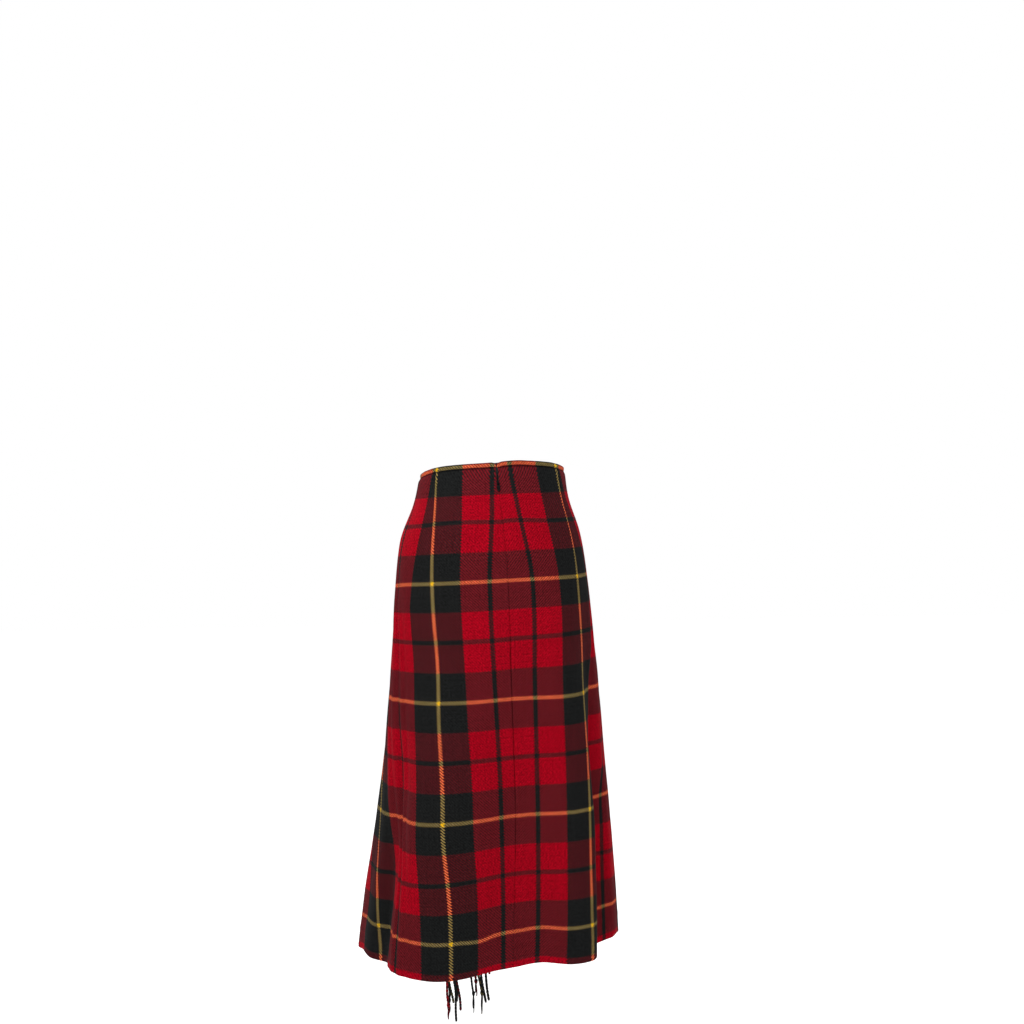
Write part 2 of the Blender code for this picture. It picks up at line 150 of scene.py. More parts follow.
EDGES = (
    EdgePlace(0.000, -0.048, 0.030),
    EdgePlace(0.168, -0.047, 0.042),
    EdgePlace(0.336, -0.033, 0.062),
    EdgePlace(0.504, 0.008, 0.082),
    EdgePlace(0.724, 0.066, 0.108),
)
DARTS = (Dart(0.0885, 0.034, 0.200), Dart(0.300, 0.034, 0.200))


@dataclass(frozen=True)
class HemRise:
    """A place where the hem hangs higher: its angle, half its width in degrees, and its height."""

    angle: float
    half_angle: float
    height: float


HEM_RISES = (
    HemRise(48, 16, 0.013),
    HemRise(88, 20, 0.011),
    HemRise(-15, 8, 0.005),
    HemRise(-66, 12, 0.008),
)
# Place down the cloth below which the hem's rises grow.
HEM_RISES_FROM = 0.58


class Side(Enum):
    """The wearer's side that a panel goes round."""

    LEFT = 1
    RIGHT = -1

    @property
    def word(self) -> str:
        """The side's name, as it begins the columns of the tables."""
        return self.name.lower()


def ease(x: float) -> float:
    """0 to 1 with soft ends."""
    x = min(max(x, 0.0), 1.0)
    return x * x * (3 - 2 * x)


def bell(x: float) -> float:
    """1 at nothing, falling softly to 0 by about 2 either way."""
    return math.exp(-x * x)


def apart(angle: float, middle: float) -> float:
    """Degrees from one angle to another, from -180 to 180."""
    return (angle - middle + 180.0) % 360.0 - 180.0


def between(rows: Sequence[Any], column: str, down: float) -> float:
    """Reads a column of a table at a place down the cloth, on a smooth curve through its rows.

    Args:
        rows: the table, in order of down.
        column: the name of the column.
        down: the place down the cloth.

    Returns:
        The column's value there.
    """
    places = [row.down for row in rows]
    values = [getattr(row, column) for row in rows]
    last = len(rows) - 1
    down = min(max(down, places[0]), places[last])
    i = max(k for k in range(last) if places[k] <= down)

    def slope(k: int) -> float:
        """Slope of the curve at a row."""
        before, after = max(k - 1, 0), min(k + 1, last)
        return (values[after] - values[before]) / (places[after] - places[before])

    width = places[i + 1] - places[i]
    x = (down - places[i]) / width
    start = (1 + 2 * x) * (1 - x) ** 2 * values[i] + x * (1 - x) ** 2 * width * slope(i)
    return start + x * x * (3 - 2 * x) * values[i + 1] + x * x * (x - 1) * width * slope(i + 1)


@dataclass(frozen=True)
class WaistCurve:
    """The waist's own curve: how far the cloth near it lies above its ring.

    Attributes:
        back: rise at the back.
        front: rise in front.
        sides: how far the sides dip.
        turn: angle by which the dips are turned.
        sharp: how sharply the sides dip.
        crest: further rise beside the zip.
        crest_angle: where that is.
        crest_half: half its width in degrees.
        full: how far down the rise is full.
        ends: how far down it has run out.
    """

    back: float = 0.0058
    front: float = 0.0020
    sides: float = 0.0085
    turn: float = 9.0
    sharp: int = 6
    crest: float = 0.0019
    crest_angle: float = -9.5
    crest_half: float = 14.0
    full: float = 0.0075
    ends: float = 0.0190

    def rise(self, angle: float, down: float) -> float:
        """How much higher than its ring the cloth lies at a place.

        Args:
            angle: angle round the ring.
            down: place down the cloth.

        Returns:
            The height.
        """
        left = 1 - ease((down - self.full) / (self.ends - self.full))
        back = (1 + math.cos(math.radians(angle))) / 2
        sides = math.sin(math.radians(angle - self.turn)) ** self.sharp
        crest = bell(apart(angle, self.crest_angle) / self.crest_half)
        level = self.front + (self.back - self.front) * back
        return left * (level - self.sides * sides + self.crest * crest)


@dataclass
class SkirtForm:
    """The form of the worn skirt: ellipses down the cloth, with the large folds pushed in and out.

    Attributes:
        length: length of the cloth from waist to hem.
        tilt: how much lower the wearer's left lies, for each metre across.
        wall: thickness of the solid walls.
        lift: how far the left panel stands off where it lies over the right one.
        lift_from: angle from the seam at which it begins to.
        lift_full: angle at which it is full.
        step: degrees between the points that a ring is measured by.
        front: least and greatest angle of the front.
        halvings: how often that range is halved to find a place in it.
        waist: the waist's own curve.
    """

    length: float = 0.724
    tilt: float = 0.052
    wall: float = 0.0015
    lift: float = 0.0036
    lift_from: float = 92.0
    lift_full: float = 125.0
    step: float = 2.0
    front: tuple[float, float] = (110.0, 250.0)
    halvings: int = 24
    waist: WaistCurve = WaistCurve()
    rings: dict[float, dict[str, float]] = field(default_factory=dict)

    def fold_depth(self, angle: float, down: float) -> float:
        """How far all folds together push the cloth out at a place.

        Args:
            angle: angle round the ring.
            down: place down the cloth.

        Returns:
            The distance.
        """
        total = 0.0
        for fold in FOLDS:
            middle = fold.angle_waist + (fold.angle_hem - fold.angle_waist) * down / self.length
            across = apart(angle, middle) / fold.half_angle
            if abs(across) < 1:
                grown = ease((down - fold.begins) / (fold.full - fold.begins))
                total += fold.depth * grown * math.cos(math.pi * across / 2) ** 2
        return total

    def point(self, angle: float, down: float, out: float = 0.0) -> Vector:
        """Finds a point of the cloth.

        Args:
            angle: angle round the ring.
            down: place down the cloth.
            out: how far outside the plain form the point lies.

        Returns:
            The point.
        """
        key = round(down, 6)
        if key not in self.rings:
            names = ("height", "half_width", "half_depth", "middle_x", "middle_y")
            self.rings[key] = {name: between(RINGS, name, down) for name in names}
        ring = self.rings[key]
        sine, cosine = math.sin(math.radians(angle)), math.cos(math.radians(angle))
        normal = Vector((sine * ring["half_depth"], cosine * ring["half_width"], 0)).normalized()
        made = Vector((ring["middle_x"], ring["middle_y"], 0))
        made += Vector((sine * ring["half_width"], cosine * ring["half_depth"], 0))
        made += normal * (self.fold_depth(angle, down) + out)
        made.z = ring["height"] - self.tilt * made.x + self.waist.rise(angle, down)
        grown = ease((down - HEM_RISES_FROM) / (self.length - HEM_RISES_FROM))
        if grown:
            for rise in HEM_RISES:
                made.z += rise.height * grown * bell(apart(angle, rise.angle) / rise.half_angle)
        return made


@dataclass
class PanelForm:
    """One side of the skirt, from the seam round to its free edge in front.

    Attributes:
        side: which side.
        skirt: the form of the whole skirt.
        slit_top: half the open slit at the waist.
        slit_low: half of it beside the slider.
        slider_down: where the slider is.
        slit_end: where the slit has closed.
        gap: the gap between pieces at a seam.
    """

    side: Side
    skirt: SkirtForm
    slit_top: float = 0.0022
    slit_low: float = 0.0015
    slider_down: float = 0.0235
    slit_end: float = 0.042
    gap: float = 0.0001
    walks: dict[float, list[tuple[float, float]]] = field(default_factory=dict)

    def point(self, angle: float, down: float, out: float = 0.0) -> Vector:
        """Finds a point of the panel, which stands off where it laps over the other one.

        Args:
            angle: angle round the ring.
            down: place down the cloth.
            out: how far outside the plain form the point lies.

        Returns:
            The point.
        """
        over = 0.0
        if self.side is Side.LEFT:
            spread = self.skirt.lift_full - self.skirt.lift_from
            over = self.skirt.lift * ease((angle - self.skirt.lift_from) / spread)
        return self.skirt.point(angle, down, out + over)

    def slit(self, down: float) -> float:
        """Half the gap between the panels at the seam.

        Args:
            down: place down the cloth.

        Returns:
            The distance.
        """
        if down <= self.slider_down:
            return self.slit_top + (self.slit_low - self.slit_top) * down / self.slider_down
        closing = ease((down - self.slider_down) / (self.slit_end - self.slider_down))
        return self.slit_low + (self.gap / 2 - self.slit_low) * closing

    def seam_take(self, down: float) -> float:
        """Cloth between the seam and the thin dark stripe beside it."""
        return between(SEAM, self.side.word + "_take", down)

    def dart_takes(self, down: float) -> list[float]:
        """Width that each dart takes up at a place down the cloth."""
        return [dart.take * max(0.0, 1 - down / dart.ends) for dart in DARTS]

    def stations(self, down: float) -> list[float]:
        """Distances round the panel of the seam, the two darts and the free edge.

        Args:
            down: place down the cloth.

        Returns:
            The four distances.
        """
        found, taken = [self.slit(down)], 0.0
        for dart, take in zip(DARTS, self.dart_takes(down)):
            found.append(dart.at + self.seam_take(down) - taken)
            taken += take
        edge = self.front_angle(between(EDGES, self.side.word + "_x", down), down)
        return found + [self.distance(down, edge)]

    def front_angle(self, x: float, down: float) -> float:
        """Angle of the point in front that lies at X on a ring.

        Args:
            x: the point's X.
            down: place down the cloth.

        Returns:
            The angle.
        """
        sign = self.side.value
        low, high = self.skirt.front
        for _ in range(self.skirt.halvings):
            middle = (low + high) / 2
            short = sign * self.point(sign * middle, down).x > sign * x
            low, high = (middle, high) if short else (low, middle)
        return sign * low

    def walk(self, down: float) -> list[tuple[float, float]]:
        """Distance from the seam, with its angle, at each step round the panel.

        Args:
            down: place down the cloth.

        Returns:
            Each step's distance and angle.
        """
        key = round(down, 6)
        if key not in self.walks:
            angle, travelled = between(SEAM, "angle", down), 0.0
            steps, last = [(0.0, angle)], self.point(angle, down)
            while self.side.value * angle < self.skirt.front[1]:
                angle += self.side.value * self.skirt.step
                here = self.point(angle, down)
                travelled += (here - last).length
                steps.append((travelled, angle))
                last = here
            self.walks[key] = steps
        return self.walks[key]

    def distance(self, down: float, angle: float) -> float:
        """Distance round the panel of an angle.

        Args:
            down: place down the cloth.
            angle: angle round the ring.

        Returns:
            The distance from the seam.
        """
        steps, sign = self.walk(down), self.side.value
        i = max(k for k in range(len(steps) - 1) if sign * steps[k][1] <= sign * angle)
        (near, start), (far, end) = steps[i], steps[i + 1]
        return near + (far - near) * (angle - start) / (end - start)

    def angle(self, down: float, distance: float) -> float:
        """Angle of a distance round the panel.

        Args:
            down: place down the cloth.
            distance: distance from the seam.

        Returns:
            The angle.
        """
        steps = self.walk(down)
        i = min(range(len(steps) - 1), key=lambda k: (steps[k + 1][0] < distance, k))
        (near, start), (far, end) = steps[i], steps[i + 1]
        return start + (end - start) * (distance - near) / (far - near)

    def warp(self, distance: float, down: float, darts_passed: int) -> float:
        """Place across the uncut cloth of a distance round the panel."""
        return distance - self.seam_take(down) + sum(self.dart_takes(down)[:darts_passed])


class Field:
    """A value that changes over a surface. Sums with it add Math nodes to its material."""

    def __init__(self, graph: Graph, socket: bpy.types.NodeSocket) -> None:
        """Wraps an output socket of a node."""
        self.graph, self.socket = graph, socket

    def __add__(self, other: Any) -> Field:
        """Sum."""
        return self.graph.math("ADD", self, other)

    def __mul__(self, other: Any) -> Field:
        """Product."""
        return self.graph.math("MULTIPLY", self, other)

    def __sub__(self, other: Any) -> Field:
        """Difference."""
        return self.graph.math("SUBTRACT", self, other)

    def __rsub__(self, other: Any) -> Field:
        """Difference from a number."""
        return self.graph.math("SUBTRACT", other, self)

    def __truediv__(self, other: Any) -> Field:
        """Quotient."""
        return self.graph.math("DIVIDE", self, other)

    def __lt__(self, other: Any) -> Field:
        """1 where it is less."""
        return self.graph.math("LESS_THAN", self, other)

    __radd__ = __add__
    __rmul__ = __mul__

    def fraction(self) -> Field:
        """What is left above the whole number."""
        return self.graph.math("FRACT", self)

    def size(self) -> Field:
        """The value without its sign."""
        return self.graph.math("ABSOLUTE", self)

    def wave(self) -> Field:
        """Sine of the value in radians."""
        return self.graph.math("SINE", self)


class Graph:
    """The nodes of one material."""

    def __init__(self, name: str, roughness: float, **values: Any) -> None:
        """Makes the material.

        Args:
            name: the material's name.
            roughness: the shader's roughness, where nothing feeds it.
            values: further values of the shader, named by its inputs with _ for a space.
        """
        self.material = bpy.data.materials.new(name)
        self.material.use_nodes = True
        self.tree = self.material.node_tree
        self.shader = self.tree.nodes["Principled BSDF"]
        self.shader.inputs["Roughness"].default_value = roughness
        for key, value in values.items():
            self.shader.inputs[key.replace("_", " ")].default_value = value

    def feed(self, socket: bpy.types.NodeSocket, value: Any) -> None:
        """Links a field or socket to an input, or sets its value.

        Args:
            socket: the input.
            value: the field, socket or value.
        """
        value = value.socket if isinstance(value, Field) else value
        if isinstance(value, bpy.types.NodeSocket):
            self.tree.links.new(value, socket)
        else:
            socket.default_value = value

    def node(self, kind: str, settings: dict[str, Any], inputs: dict[Any, Any]) -> bpy.types.Node:
        """Adds a node.

        Args:
            kind: its type.
            settings: its properties, set first. stops are a ramp's places and colours.
            inputs: a value or link for each input, by name or number.

        Returns:
            The node.
        """
        made = self.tree.nodes.new(kind)
        for key, value in settings.items():
            if key == "stops":
                elements = made.color_ramp.elements
                while len(elements) < len(value):
                    elements.new(1.0)
                for element, (place, colour) in zip(elements, value):
                    element.position, element.color = place, colour
            elif key == "interpolation" and kind == "ShaderNodeValToRGB":
                made.color_ramp.interpolation = value
            else:
                setattr(made, key, value)
        for key, value in inputs.items():
            self.feed(made.inputs[key], value)
        return made

    def math(self, operation: str, *values: Any) -> Field:
        """Adds a Math node.

        Args:
            operation: what it does.
            values: a value or field for each of its inputs.

        Returns:
            Its result.
        """
        made = self.node("ShaderNodeMath", {"operation": operation}, dict(enumerate(values)))
        return Field(self, made.outputs[0])

    def mix(self, factor: Any, low: Any, high: Any, blend: str = "MIX") -> bpy.types.NodeSocket:
        """Mixes two colours.

        Args:
            factor: share of the second colour.
            low: the first colour.
            high: the second colour.
            blend: how they are blended.

        Returns:
            The colour's socket.
        """
        settings = {"data_type": "RGBA", "blend_type": blend}
        return self.node("ShaderNodeMix", settings, {0: factor, 6: low, 7: high}).outputs[2]

    def steps(self, at: Field, stops: Sequence[tuple[float, Colour]]) -> bpy.types.NodeSocket:
        """Colours that change at once from stop to stop.

        Args:
            at: the place on the ramp.
            stops: the ramp's places and colours.

        Returns:
            The colour's socket.
        """
        settings = {"interpolation": "CONSTANT", "stops": stops}
        return self.node("ShaderNodeValToRGB", settings, {"Fac": at}).outputs["Color"]

    def map(self, name: str) -> tuple[Field, Field]:
        """The two places of a UV map.

        Args:
            name: its name.

        Returns:
            The places across and along.
        """
        found = self.node("ShaderNodeUVMap", {"uv_map": name}, {}).outputs["UV"]
        parts = self.node("ShaderNodeSeparateXYZ", {}, {"Vector": found}).outputs
        return Field(self, parts["X"]), Field(self, parts["Y"])

    def speckle(self, x: Any, y: Any, detail: float = 2.0) -> Field:
        """Noise between 0 and 1 at a place that has been scaled.

        Args:
            x: the place across.
            y: the place along.
            detail: how fine it is.

        Returns:
            The noise.
        """
        place = self.node("ShaderNodeCombineXYZ", {}, {"X": x, "Y": y}).outputs[0]
        settings = {"noise_dimensions": "2D"}
        made = self.node("ShaderNodeTexNoise", settings, {"Vector": place, "Scale": 1.0, "Detail": detail})
        return Field(self, made.outputs["Fac"])

    def finish(self, colour: Any, height: Field | None = None, strength: float = 1.0) -> bpy.types.Material:
        """Feeds the shader.

        Args:
            colour: the base colour, or a link to it.
            height: how high the surface stands, in metres.
            strength: how much of that the bump takes.

        Returns:
            The finished material.
        """
        self.feed(self.shader.inputs["Base Color"], colour)
        if height is not None:
            inputs = {"Height": height, "Strength": strength, "Distance": 1.0}
            self.feed(self.shader.inputs["Normal"], self.node("ShaderNodeBump", {}, inputs).outputs[0])
        return self.material


def paint(red: int, green: int, blue: int) -> Colour:
    """The linear colour of a screen colour given from 0 to 255.

    Args:
        red: how red it is.
        green: how green it is.
        blue: how blue it is.

    Returns:
        The linear colour.
    """

    def linear(value: int) -> float:
        """One channel."""
        share = value / 255
        return share / 12.92 if share <= 0.04045 else ((share + 0.055) / 1.055) ** 2.4

    return linear(red), linear(green), linear(blue), 1.0


BLACK, RED, YELLOW = paint(30, 31, 31), paint(170, 6, 28), paint(240, 188, 36)
ORANGE, OLIVE = paint(209, 54, 66), paint(73, 77, 70)
RED_UNDER_BLACK, BLACK_UNDER_RED = paint(92, 27, 33), paint(54, 27, 30)
DARK_RED, MOSS = paint(104, 8, 24), paint(98, 90, 56)


@dataclass(frozen=True)
class CheckCloth:
    """The woven check: one repeat of yellow line, black, red, thin black line, red and black, each way.

    Attributes:
        repeat: size of the repeat.
        line: width of the yellow line.
        thin: width of the thin black line.
        twill: size of the twill's repeat.
        saw: how far it makes the edges of a line uneven.
        contrast: how much the single threads stand out.
        dots: how much more they do so on the yellow lines.
        stitched: how far down the cloth the painted shadow under the rolled edge lies.
        stitch_width: how wide that painted shadow is.
        stitch_shade: how much darker the painted shadow makes the cloth.
        streaks: how many streaks of wool there are in a metre across a thread, and along it.
        flecks: how many flecks there are in a metre.
        mottles: how many larger, paler places there are in a metre.
        streak_share: how much the streaks change the colour.
        fleck_share: how much the flecks do.
        mottle_share: how much the mottles do.
        rib_share: how much the twill's ribs do.
        darker: what is taken off all round to make up for these.
        rib_height: how high a rib stands.
        streak_height: how high a streak stands.
        fleck_height: how high a fleck stands.
        bump: how much of the height the bump takes.
        map_name: the UV map that holds the place on the uncut cloth, in metres.
    """

    repeat: float = 0.168
    line: float = 0.0059
    thin: float = 0.0060
    twill: float = 0.0042
    saw: float = 0.0040
    contrast: float = 0.24
    dots: float = 0.9
    stitched: float = 0.0080
    stitch_width: float = 0.0024
    stitch_shade: float = 0.55
    streaks: tuple[float, float] = (420.0, 14.0)
    flecks: float = 380.0
    mottles: float = 26.0
    streak_share: float = 0.35
    fleck_share: float = 1.5
    mottle_share: float = 0.12
    rib_share: float = 0.16
    darker: float = 0.16
    rib_height: float = 0.00010
    streak_height: float = 0.00012
    fleck_height: float = 0.00010
    bump: float = 0.7
    map_name: str = "cloth"

    def marks(self) -> tuple[float, float, float]:
        """Where red, black and yellow begin, from 0 at a thin line to 1 at a yellow line."""
        return self.thin / self.repeat, 0.5, 1 - self.line / self.repeat

    def stops(self, thin: Colour, red: Colour, black: Colour, yellow: Colour) -> list[tuple[float, Colour]]:
        """A ramp of the four kinds of stripe."""
        return list(zip((0.0, *self.marks()), (thin, red, black, yellow)))

    def kind(self, place: float) -> Colour:
        """Colour of a thread of the weft.

        Args:
            place: the thread's place along the cloth.

        Returns:
            Its colour.
        """
        from_thin = abs((place / self.repeat) % 1.0 - 0.5) * 2
        red, black, yellow = self.marks()
        if from_thin < red or black <= from_thin < yellow:
            return BLACK
        return RED if from_thin < black else YELLOW

    def build(self) -> bpy.types.Material:
        """Makes the material."""
        graph = Graph("check_cloth", 0.95, Sheen_Weight=0.02, Specular_IOR_Level=0.02)
        warp, weft = graph.map(self.map_name)
        twill = (warp + weft) / self.twill
        shift = ((twill.fraction() - 0.5).size() - 0.25) * self.saw
        across = (((warp + shift) / self.repeat + 0.5).fraction() - 0.5).size() * 2
        along = (((weft + shift) / self.repeat).fraction() - 0.5).size() * 2
        white, none = (1.0, 1.0, 1.0, 1.0), (0.0, 0.0, 0.0, 1.0)
        on_black = graph.steps(across, self.stops(BLACK, RED_UNDER_BLACK, BLACK, OLIVE))
        on_red = graph.steps(across, self.stops(BLACK_UNDER_RED, RED, BLACK_UNDER_RED, ORANGE))
        on_yellow = graph.steps(across, self.stops(OLIVE, ORANGE, OLIVE, YELLOW))
        is_red = graph.steps(along, self.stops(none, white, none, none))
        is_yellow = graph.steps(along, self.stops(none, none, none, white))
        is_yellow_warp = graph.steps(across, self.stops(none, none, none, white))
        woven = graph.mix(is_yellow, graph.mix(is_red, on_black, on_red), on_yellow)
        pure_warp = graph.steps(across, self.stops(BLACK, RED, BLACK, YELLOW))
        pure_weft = graph.steps(along, self.stops(BLACK, RED, BLACK, YELLOW))
        upper = twill.fraction() < 0.5
        on_top = graph.mix(upper, pure_weft, pure_warp)
        threads = graph.mix(self.contrast, woven, on_top)
        fine, long = self.streaks
        streaks = graph.speckle(warp * fine, weft * long) + graph.speckle(warp * long, weft * fine)
        fleck = graph.speckle(warp * self.flecks, weft * self.flecks)
        mottle = graph.speckle(warp * self.mottles, weft * self.mottles, 3.0)
        ribs = (twill * (2 * math.pi)).wave()
        value = streaks * self.streak_share + fleck * self.fleck_share + mottle * self.mottle_share
        value = value + ribs * self.rib_share - self.darker
        value = value + graph.math("SUBTRACT", is_yellow_warp, is_yellow) * (upper - 0.5) * self.dots
        # Painted shadow: a narrow band of cloth just under the rolled edge is darkened, as though it lay in
        # the edge's shade.
        painted_shadow_band = (weft - self.stitched).size() < self.stitch_width / 2
        value = value * (1 - painted_shadow_band * self.stitch_shade)
        ridge = ribs * self.rib_height + streaks * self.streak_height + fleck * self.fleck_height
        even = graph.node("ShaderNodeCombineXYZ", {}, {"X": value, "Y": value, "Z": value}).outputs[0]
        return graph.finish(graph.mix(1.0, threads, even, "MULTIPLY"), ridge, self.bump)


@dataclass(frozen=True)
class TwistedYarn:
    """Two plies twisted round each other, each of its own colour.

    Attributes:
        turn: length of one turn of the twist.
        map_name: the UV map of place round and along the yarn.
        first: the colour attribute of one ply.
        second: the colour attribute of the other.
        fibres: how many fibres there are in a turn round it, how many of these slant in a metre, and how
            many there are in a metre along it.
        fibre_share: how much the fibres change the colour.
        ply_share: how much painted shade, darkest where the two plies meet, changes the colour.
        darkest: the brightness left in that painted shade between the plies.
        ply_height: how high a ply stands.
        fibre_height: how high a fibre stands.
        bump: how much of the height the bump takes.
    """

    turn: float = 0.0105
    map_name: str = "yarn"
    first: str = "first_ply"
    second: str = "second_ply"
    fibres: tuple[float, float, float] = (30.0, 900.0, 500.0)
    fibre_share: float = 0.5
    ply_share: float = 0.45
    darkest: float = 0.35
    ply_height: float = 0.0005
    fibre_height: float = 0.0002
    bump: float = 0.8

    def build(self) -> bpy.types.Material:
        """Makes the material."""
        graph = Graph("twisted_yarn", 0.95, Sheen_Weight=0.15, Specular_IOR_Level=0.15)
        around, along = graph.map(self.map_name)
        spiral = (around * 2 + along / (self.turn / 2)).fraction()
        half = (around + along / self.turn).fraction() < 0.5
        plies = [
            graph.node("ShaderNodeVertexColor", {"layer_name": name}, {}).outputs["Color"]
            for name in (self.first, self.second)
        ]
        fibres_round, slanting, fibres_along = self.fibres
        fibre = graph.speckle(around * fibres_round + along * slanting, along * fibres_along)
        # Painted shade: the colour is darkest where the two plies meet and lightest on the round of each ply.
        value = fibre * self.fibre_share + (spiral * math.pi).wave() * self.ply_share + self.darkest
        even = graph.node("ShaderNodeCombineXYZ", {}, {"X": value, "Y": value, "Z": value}).outputs[0]
        colour = graph.mix(1.0, graph.mix(half, *plies), even, "MULTIPLY")
        height = (spiral * math.pi).wave() * self.ply_height + fibre * self.fibre_height
        return graph.finish(colour, height, self.bump)


@dataclass(frozen=True)
class ZipTapeCloth:
    """Black herringbone tape.

    Attributes:
        rib: width of one rib of its weave.
        pick: distance between its threads.
        pick_height: how high a thread stands.
        rib_height: how high a rib stands.
        bump: how much of the height the bump takes.
    """

    rib: float = 0.0011
    pick: float = 0.0009
    pick_height: float = 0.00006
    rib_height: float = 0.00012
    bump: float = 0.8

    def build(self) -> bpy.types.Material:
        """Makes the material."""
        graph = Graph("zip_tape_cloth", 0.85, Sheen_Weight=0.1)
        across, along = graph.map("tape")
        rib = ((across / self.rib).fraction() - 0.5).size()
        weave = ((along + rib * self.rib) * (2 * math.pi / self.pick)).wave()
        colour = graph.mix(rib * 2, paint(24, 24, 25), paint(40, 40, 41))
        return graph.finish(colour, weave * self.pick_height + rib * self.rib_height, self.bump)


@dataclass(frozen=True)
class HardFinish:
    """A hard black finish with a little wear in its gloss.

    Attributes:
        name: name of the material.
        colour: its colour.
        worn: its colour where it is rubbed.
        roughness: how dull it is.
        metallic: 1 for a metal.
        rubs: how many rubbed places there are in a metre.
        duller: how much duller they make it.
        glossier: how much glossier it is between them.
        rub_height: how high they stand.
        bump: how much of the height the bump takes.
    """

    name: str
    colour: Colour
    worn: Colour
    roughness: float
    metallic: float = 0.0
    rubs: float = 900.0
    duller: float = 0.25
    glossier: float = 0.1
    rub_height: float = 0.00003
    bump: float = 0.5

    def build(self) -> bpy.types.Material:
        """Makes the material."""
        graph = Graph(self.name, self.roughness, Metallic=self.metallic)
        place = graph.node("ShaderNodeTexCoord", {}, {}).outputs["Object"]
        rub = graph.node("ShaderNodeTexNoise", {}, {"Vector": place, "Scale": self.rubs, "Detail": 3.0})
        rubbed = Field(graph, rub.outputs["Fac"])
        graph.feed(graph.shader.inputs["Roughness"], rubbed * self.duller + (self.roughness - self.glossier))
        colour = graph.mix(rubbed, self.colour, self.worn)
        return graph.finish(colour, rubbed * self.rub_height, self.bump)


@dataclass
class Wardrobe:
    """The finishes, each made once."""

    cloth: bpy.types.Material
    yarn: bpy.types.Material
    tape: bpy.types.Material
    coil: bpy.types.Material
    metal: bpy.types.Material


def make_piece(
    name: str, bm: bmesh.types.BMesh, finishes: Sequence[bpy.types.Material], smooth: bool = True
) -> bpy.types.Object:
    """Turns a bmesh into a piece of the scene.

    Args:
        name: the piece's name.
        bm: its shape, which is freed.
        finishes: its materials.
        smooth: whether it is shaded smooth.

    Returns:
        The piece.
    """
    mesh = bpy.data.meshes.new(name)
    for face in bm.faces:
        face.smooth = smooth
    bm.to_mesh(mesh)
    bm.free()
    for finish in finishes:
        mesh.materials.append(finish)
    made = bpy.data.objects.new(name, mesh)
    bpy.context.scene.collection.objects.link(made)
    return made


def shaped_grid(
    columns: int, rows: int, place: Callable[[int, int], Vector], bm: bmesh.types.BMesh | None = None
) -> tuple[bmesh.types.BMesh, dict[bmesh.types.BMVert, tuple[int, int]]]:
    """Makes a grid and moves each of its vertices to its place.

    Args:
        columns: how many vertices there are across.
        rows: how many there are down.
        place: finds the place of a column and row.
        bm: the bmesh that it is added to, if not a new one.

    Returns:
        The bmesh, and each vertex's column and row.
    """
    bm = bm or bmesh.new()
    made = bmesh.ops.create_grid(bm, x_segments=columns - 1, y_segments=rows - 1, size=1.0)
    where = {}
    for vert in made["verts"]:
        column = round((vert.co.x + 1) / 2 * (columns - 1))
        row = round((1 - vert.co.y) / 2 * (rows - 1))
        where[vert] = (column, row)
    for vert, (column, row) in where.items():
        vert.co = place(column, row)
    return bm, where


@dataclass(frozen=True)
class Crease:
    """A soft line pressed into the cloth.

    Attributes:
        side: the panel it is on.
        warp_top: its place across the cloth at its upper end.
        warp_low: its place at its lower end.
        begins: how far down it begins.
        ends: how far down it ends.
        depth: how far it stands out, or lies in if negative.
        half_width: half its width.
    """

    side: Side
    warp_top: float
    warp_low: float
    begins: float
    ends: float
    depth: float
    half_width: float

    def out(self, warp: float, down: float) -> float:
        """Finds how far the crease moves the cloth at a place. It fades in, and less so out.

        Args:
            warp: the place across the cloth.
            down: the place down it.

        Returns:
            The distance outwards.
        """
        share = (down - self.begins) / (self.ends - self.begins)
        if not 0 < share < 1:
            return 0.0
        middle = self.warp_top + (self.warp_low - self.warp_top) * share
        fading = ease(share * 5) * ease((1 - share) * 8 + 0.35)
        return self.depth * fading * bell((warp - middle) / self.half_width)


CREASES = (
    Crease(Side.LEFT, 0.150, 0.150, 0.18, 0.73, -0.0014, 0.0045),
    Crease(Side.LEFT, 0.170, 0.170, 0.09, 0.73, -0.0030, 0.0042),
    Crease(Side.LEFT, 0.160, 0.159, 0.16, 0.73, 0.0016, 0.0050),
    Crease(Side.LEFT, 0.183, 0.182, 0.12, 0.73, 0.0020, 0.0060),
    Crease(Side.LEFT, 0.195, 0.194, 0.20, 0.73, -0.0016, 0.0050),
    Crease(Side.LEFT, 0.052, 0.040, 0.30, 0.73, -0.0010, 0.0110),
    Crease(Side.LEFT, 0.215, 0.222, 0.26, 0.73, -0.0016, 0.0090),
    Crease(Side.LEFT, 0.330, 0.345, 0.12, 0.73, -0.0018, 0.0080),
    Crease(Side.LEFT, 0.420, 0.445, 0.08, 0.73, -0.0014, 0.0100),
    Crease(Side.RIGHT, 0.129, 0.129, 0.18, 0.73, -0.0034, 0.0046),
    Crease(Side.RIGHT, 0.116, 0.117, 0.24, 0.73, 0.0016, 0.0060),
    Crease(Side.RIGHT, 0.168, 0.172, 0.30, 0.73, -0.0016, 0.0060),
    Crease(Side.RIGHT, 0.010, 0.012, 0.34, 0.73, -0.0007, 0.0060),
    Crease(Side.RIGHT, 0.235, 0.250, 0.20, 0.73, -0.0020, 0.0080),
    Crease(Side.RIGHT, 0.345, 0.370, 0.10, 0.73, -0.0016, 0.0100),
)


@dataclass(frozen=True)
class Drift:
    """A place where the check lies a little off its straight course, as cloth does when it is worn.

    Attributes:
        side: the panel it is on.
        warp: its place across the cloth.
        down: its place along the cloth.
        half_width: half its size across.
        half_length: half its size along.
        along: how far it is moved along.
    """

    side: Side
    warp: float
    down: float
    half_width: float
    half_length: float
    across: float
    along: float


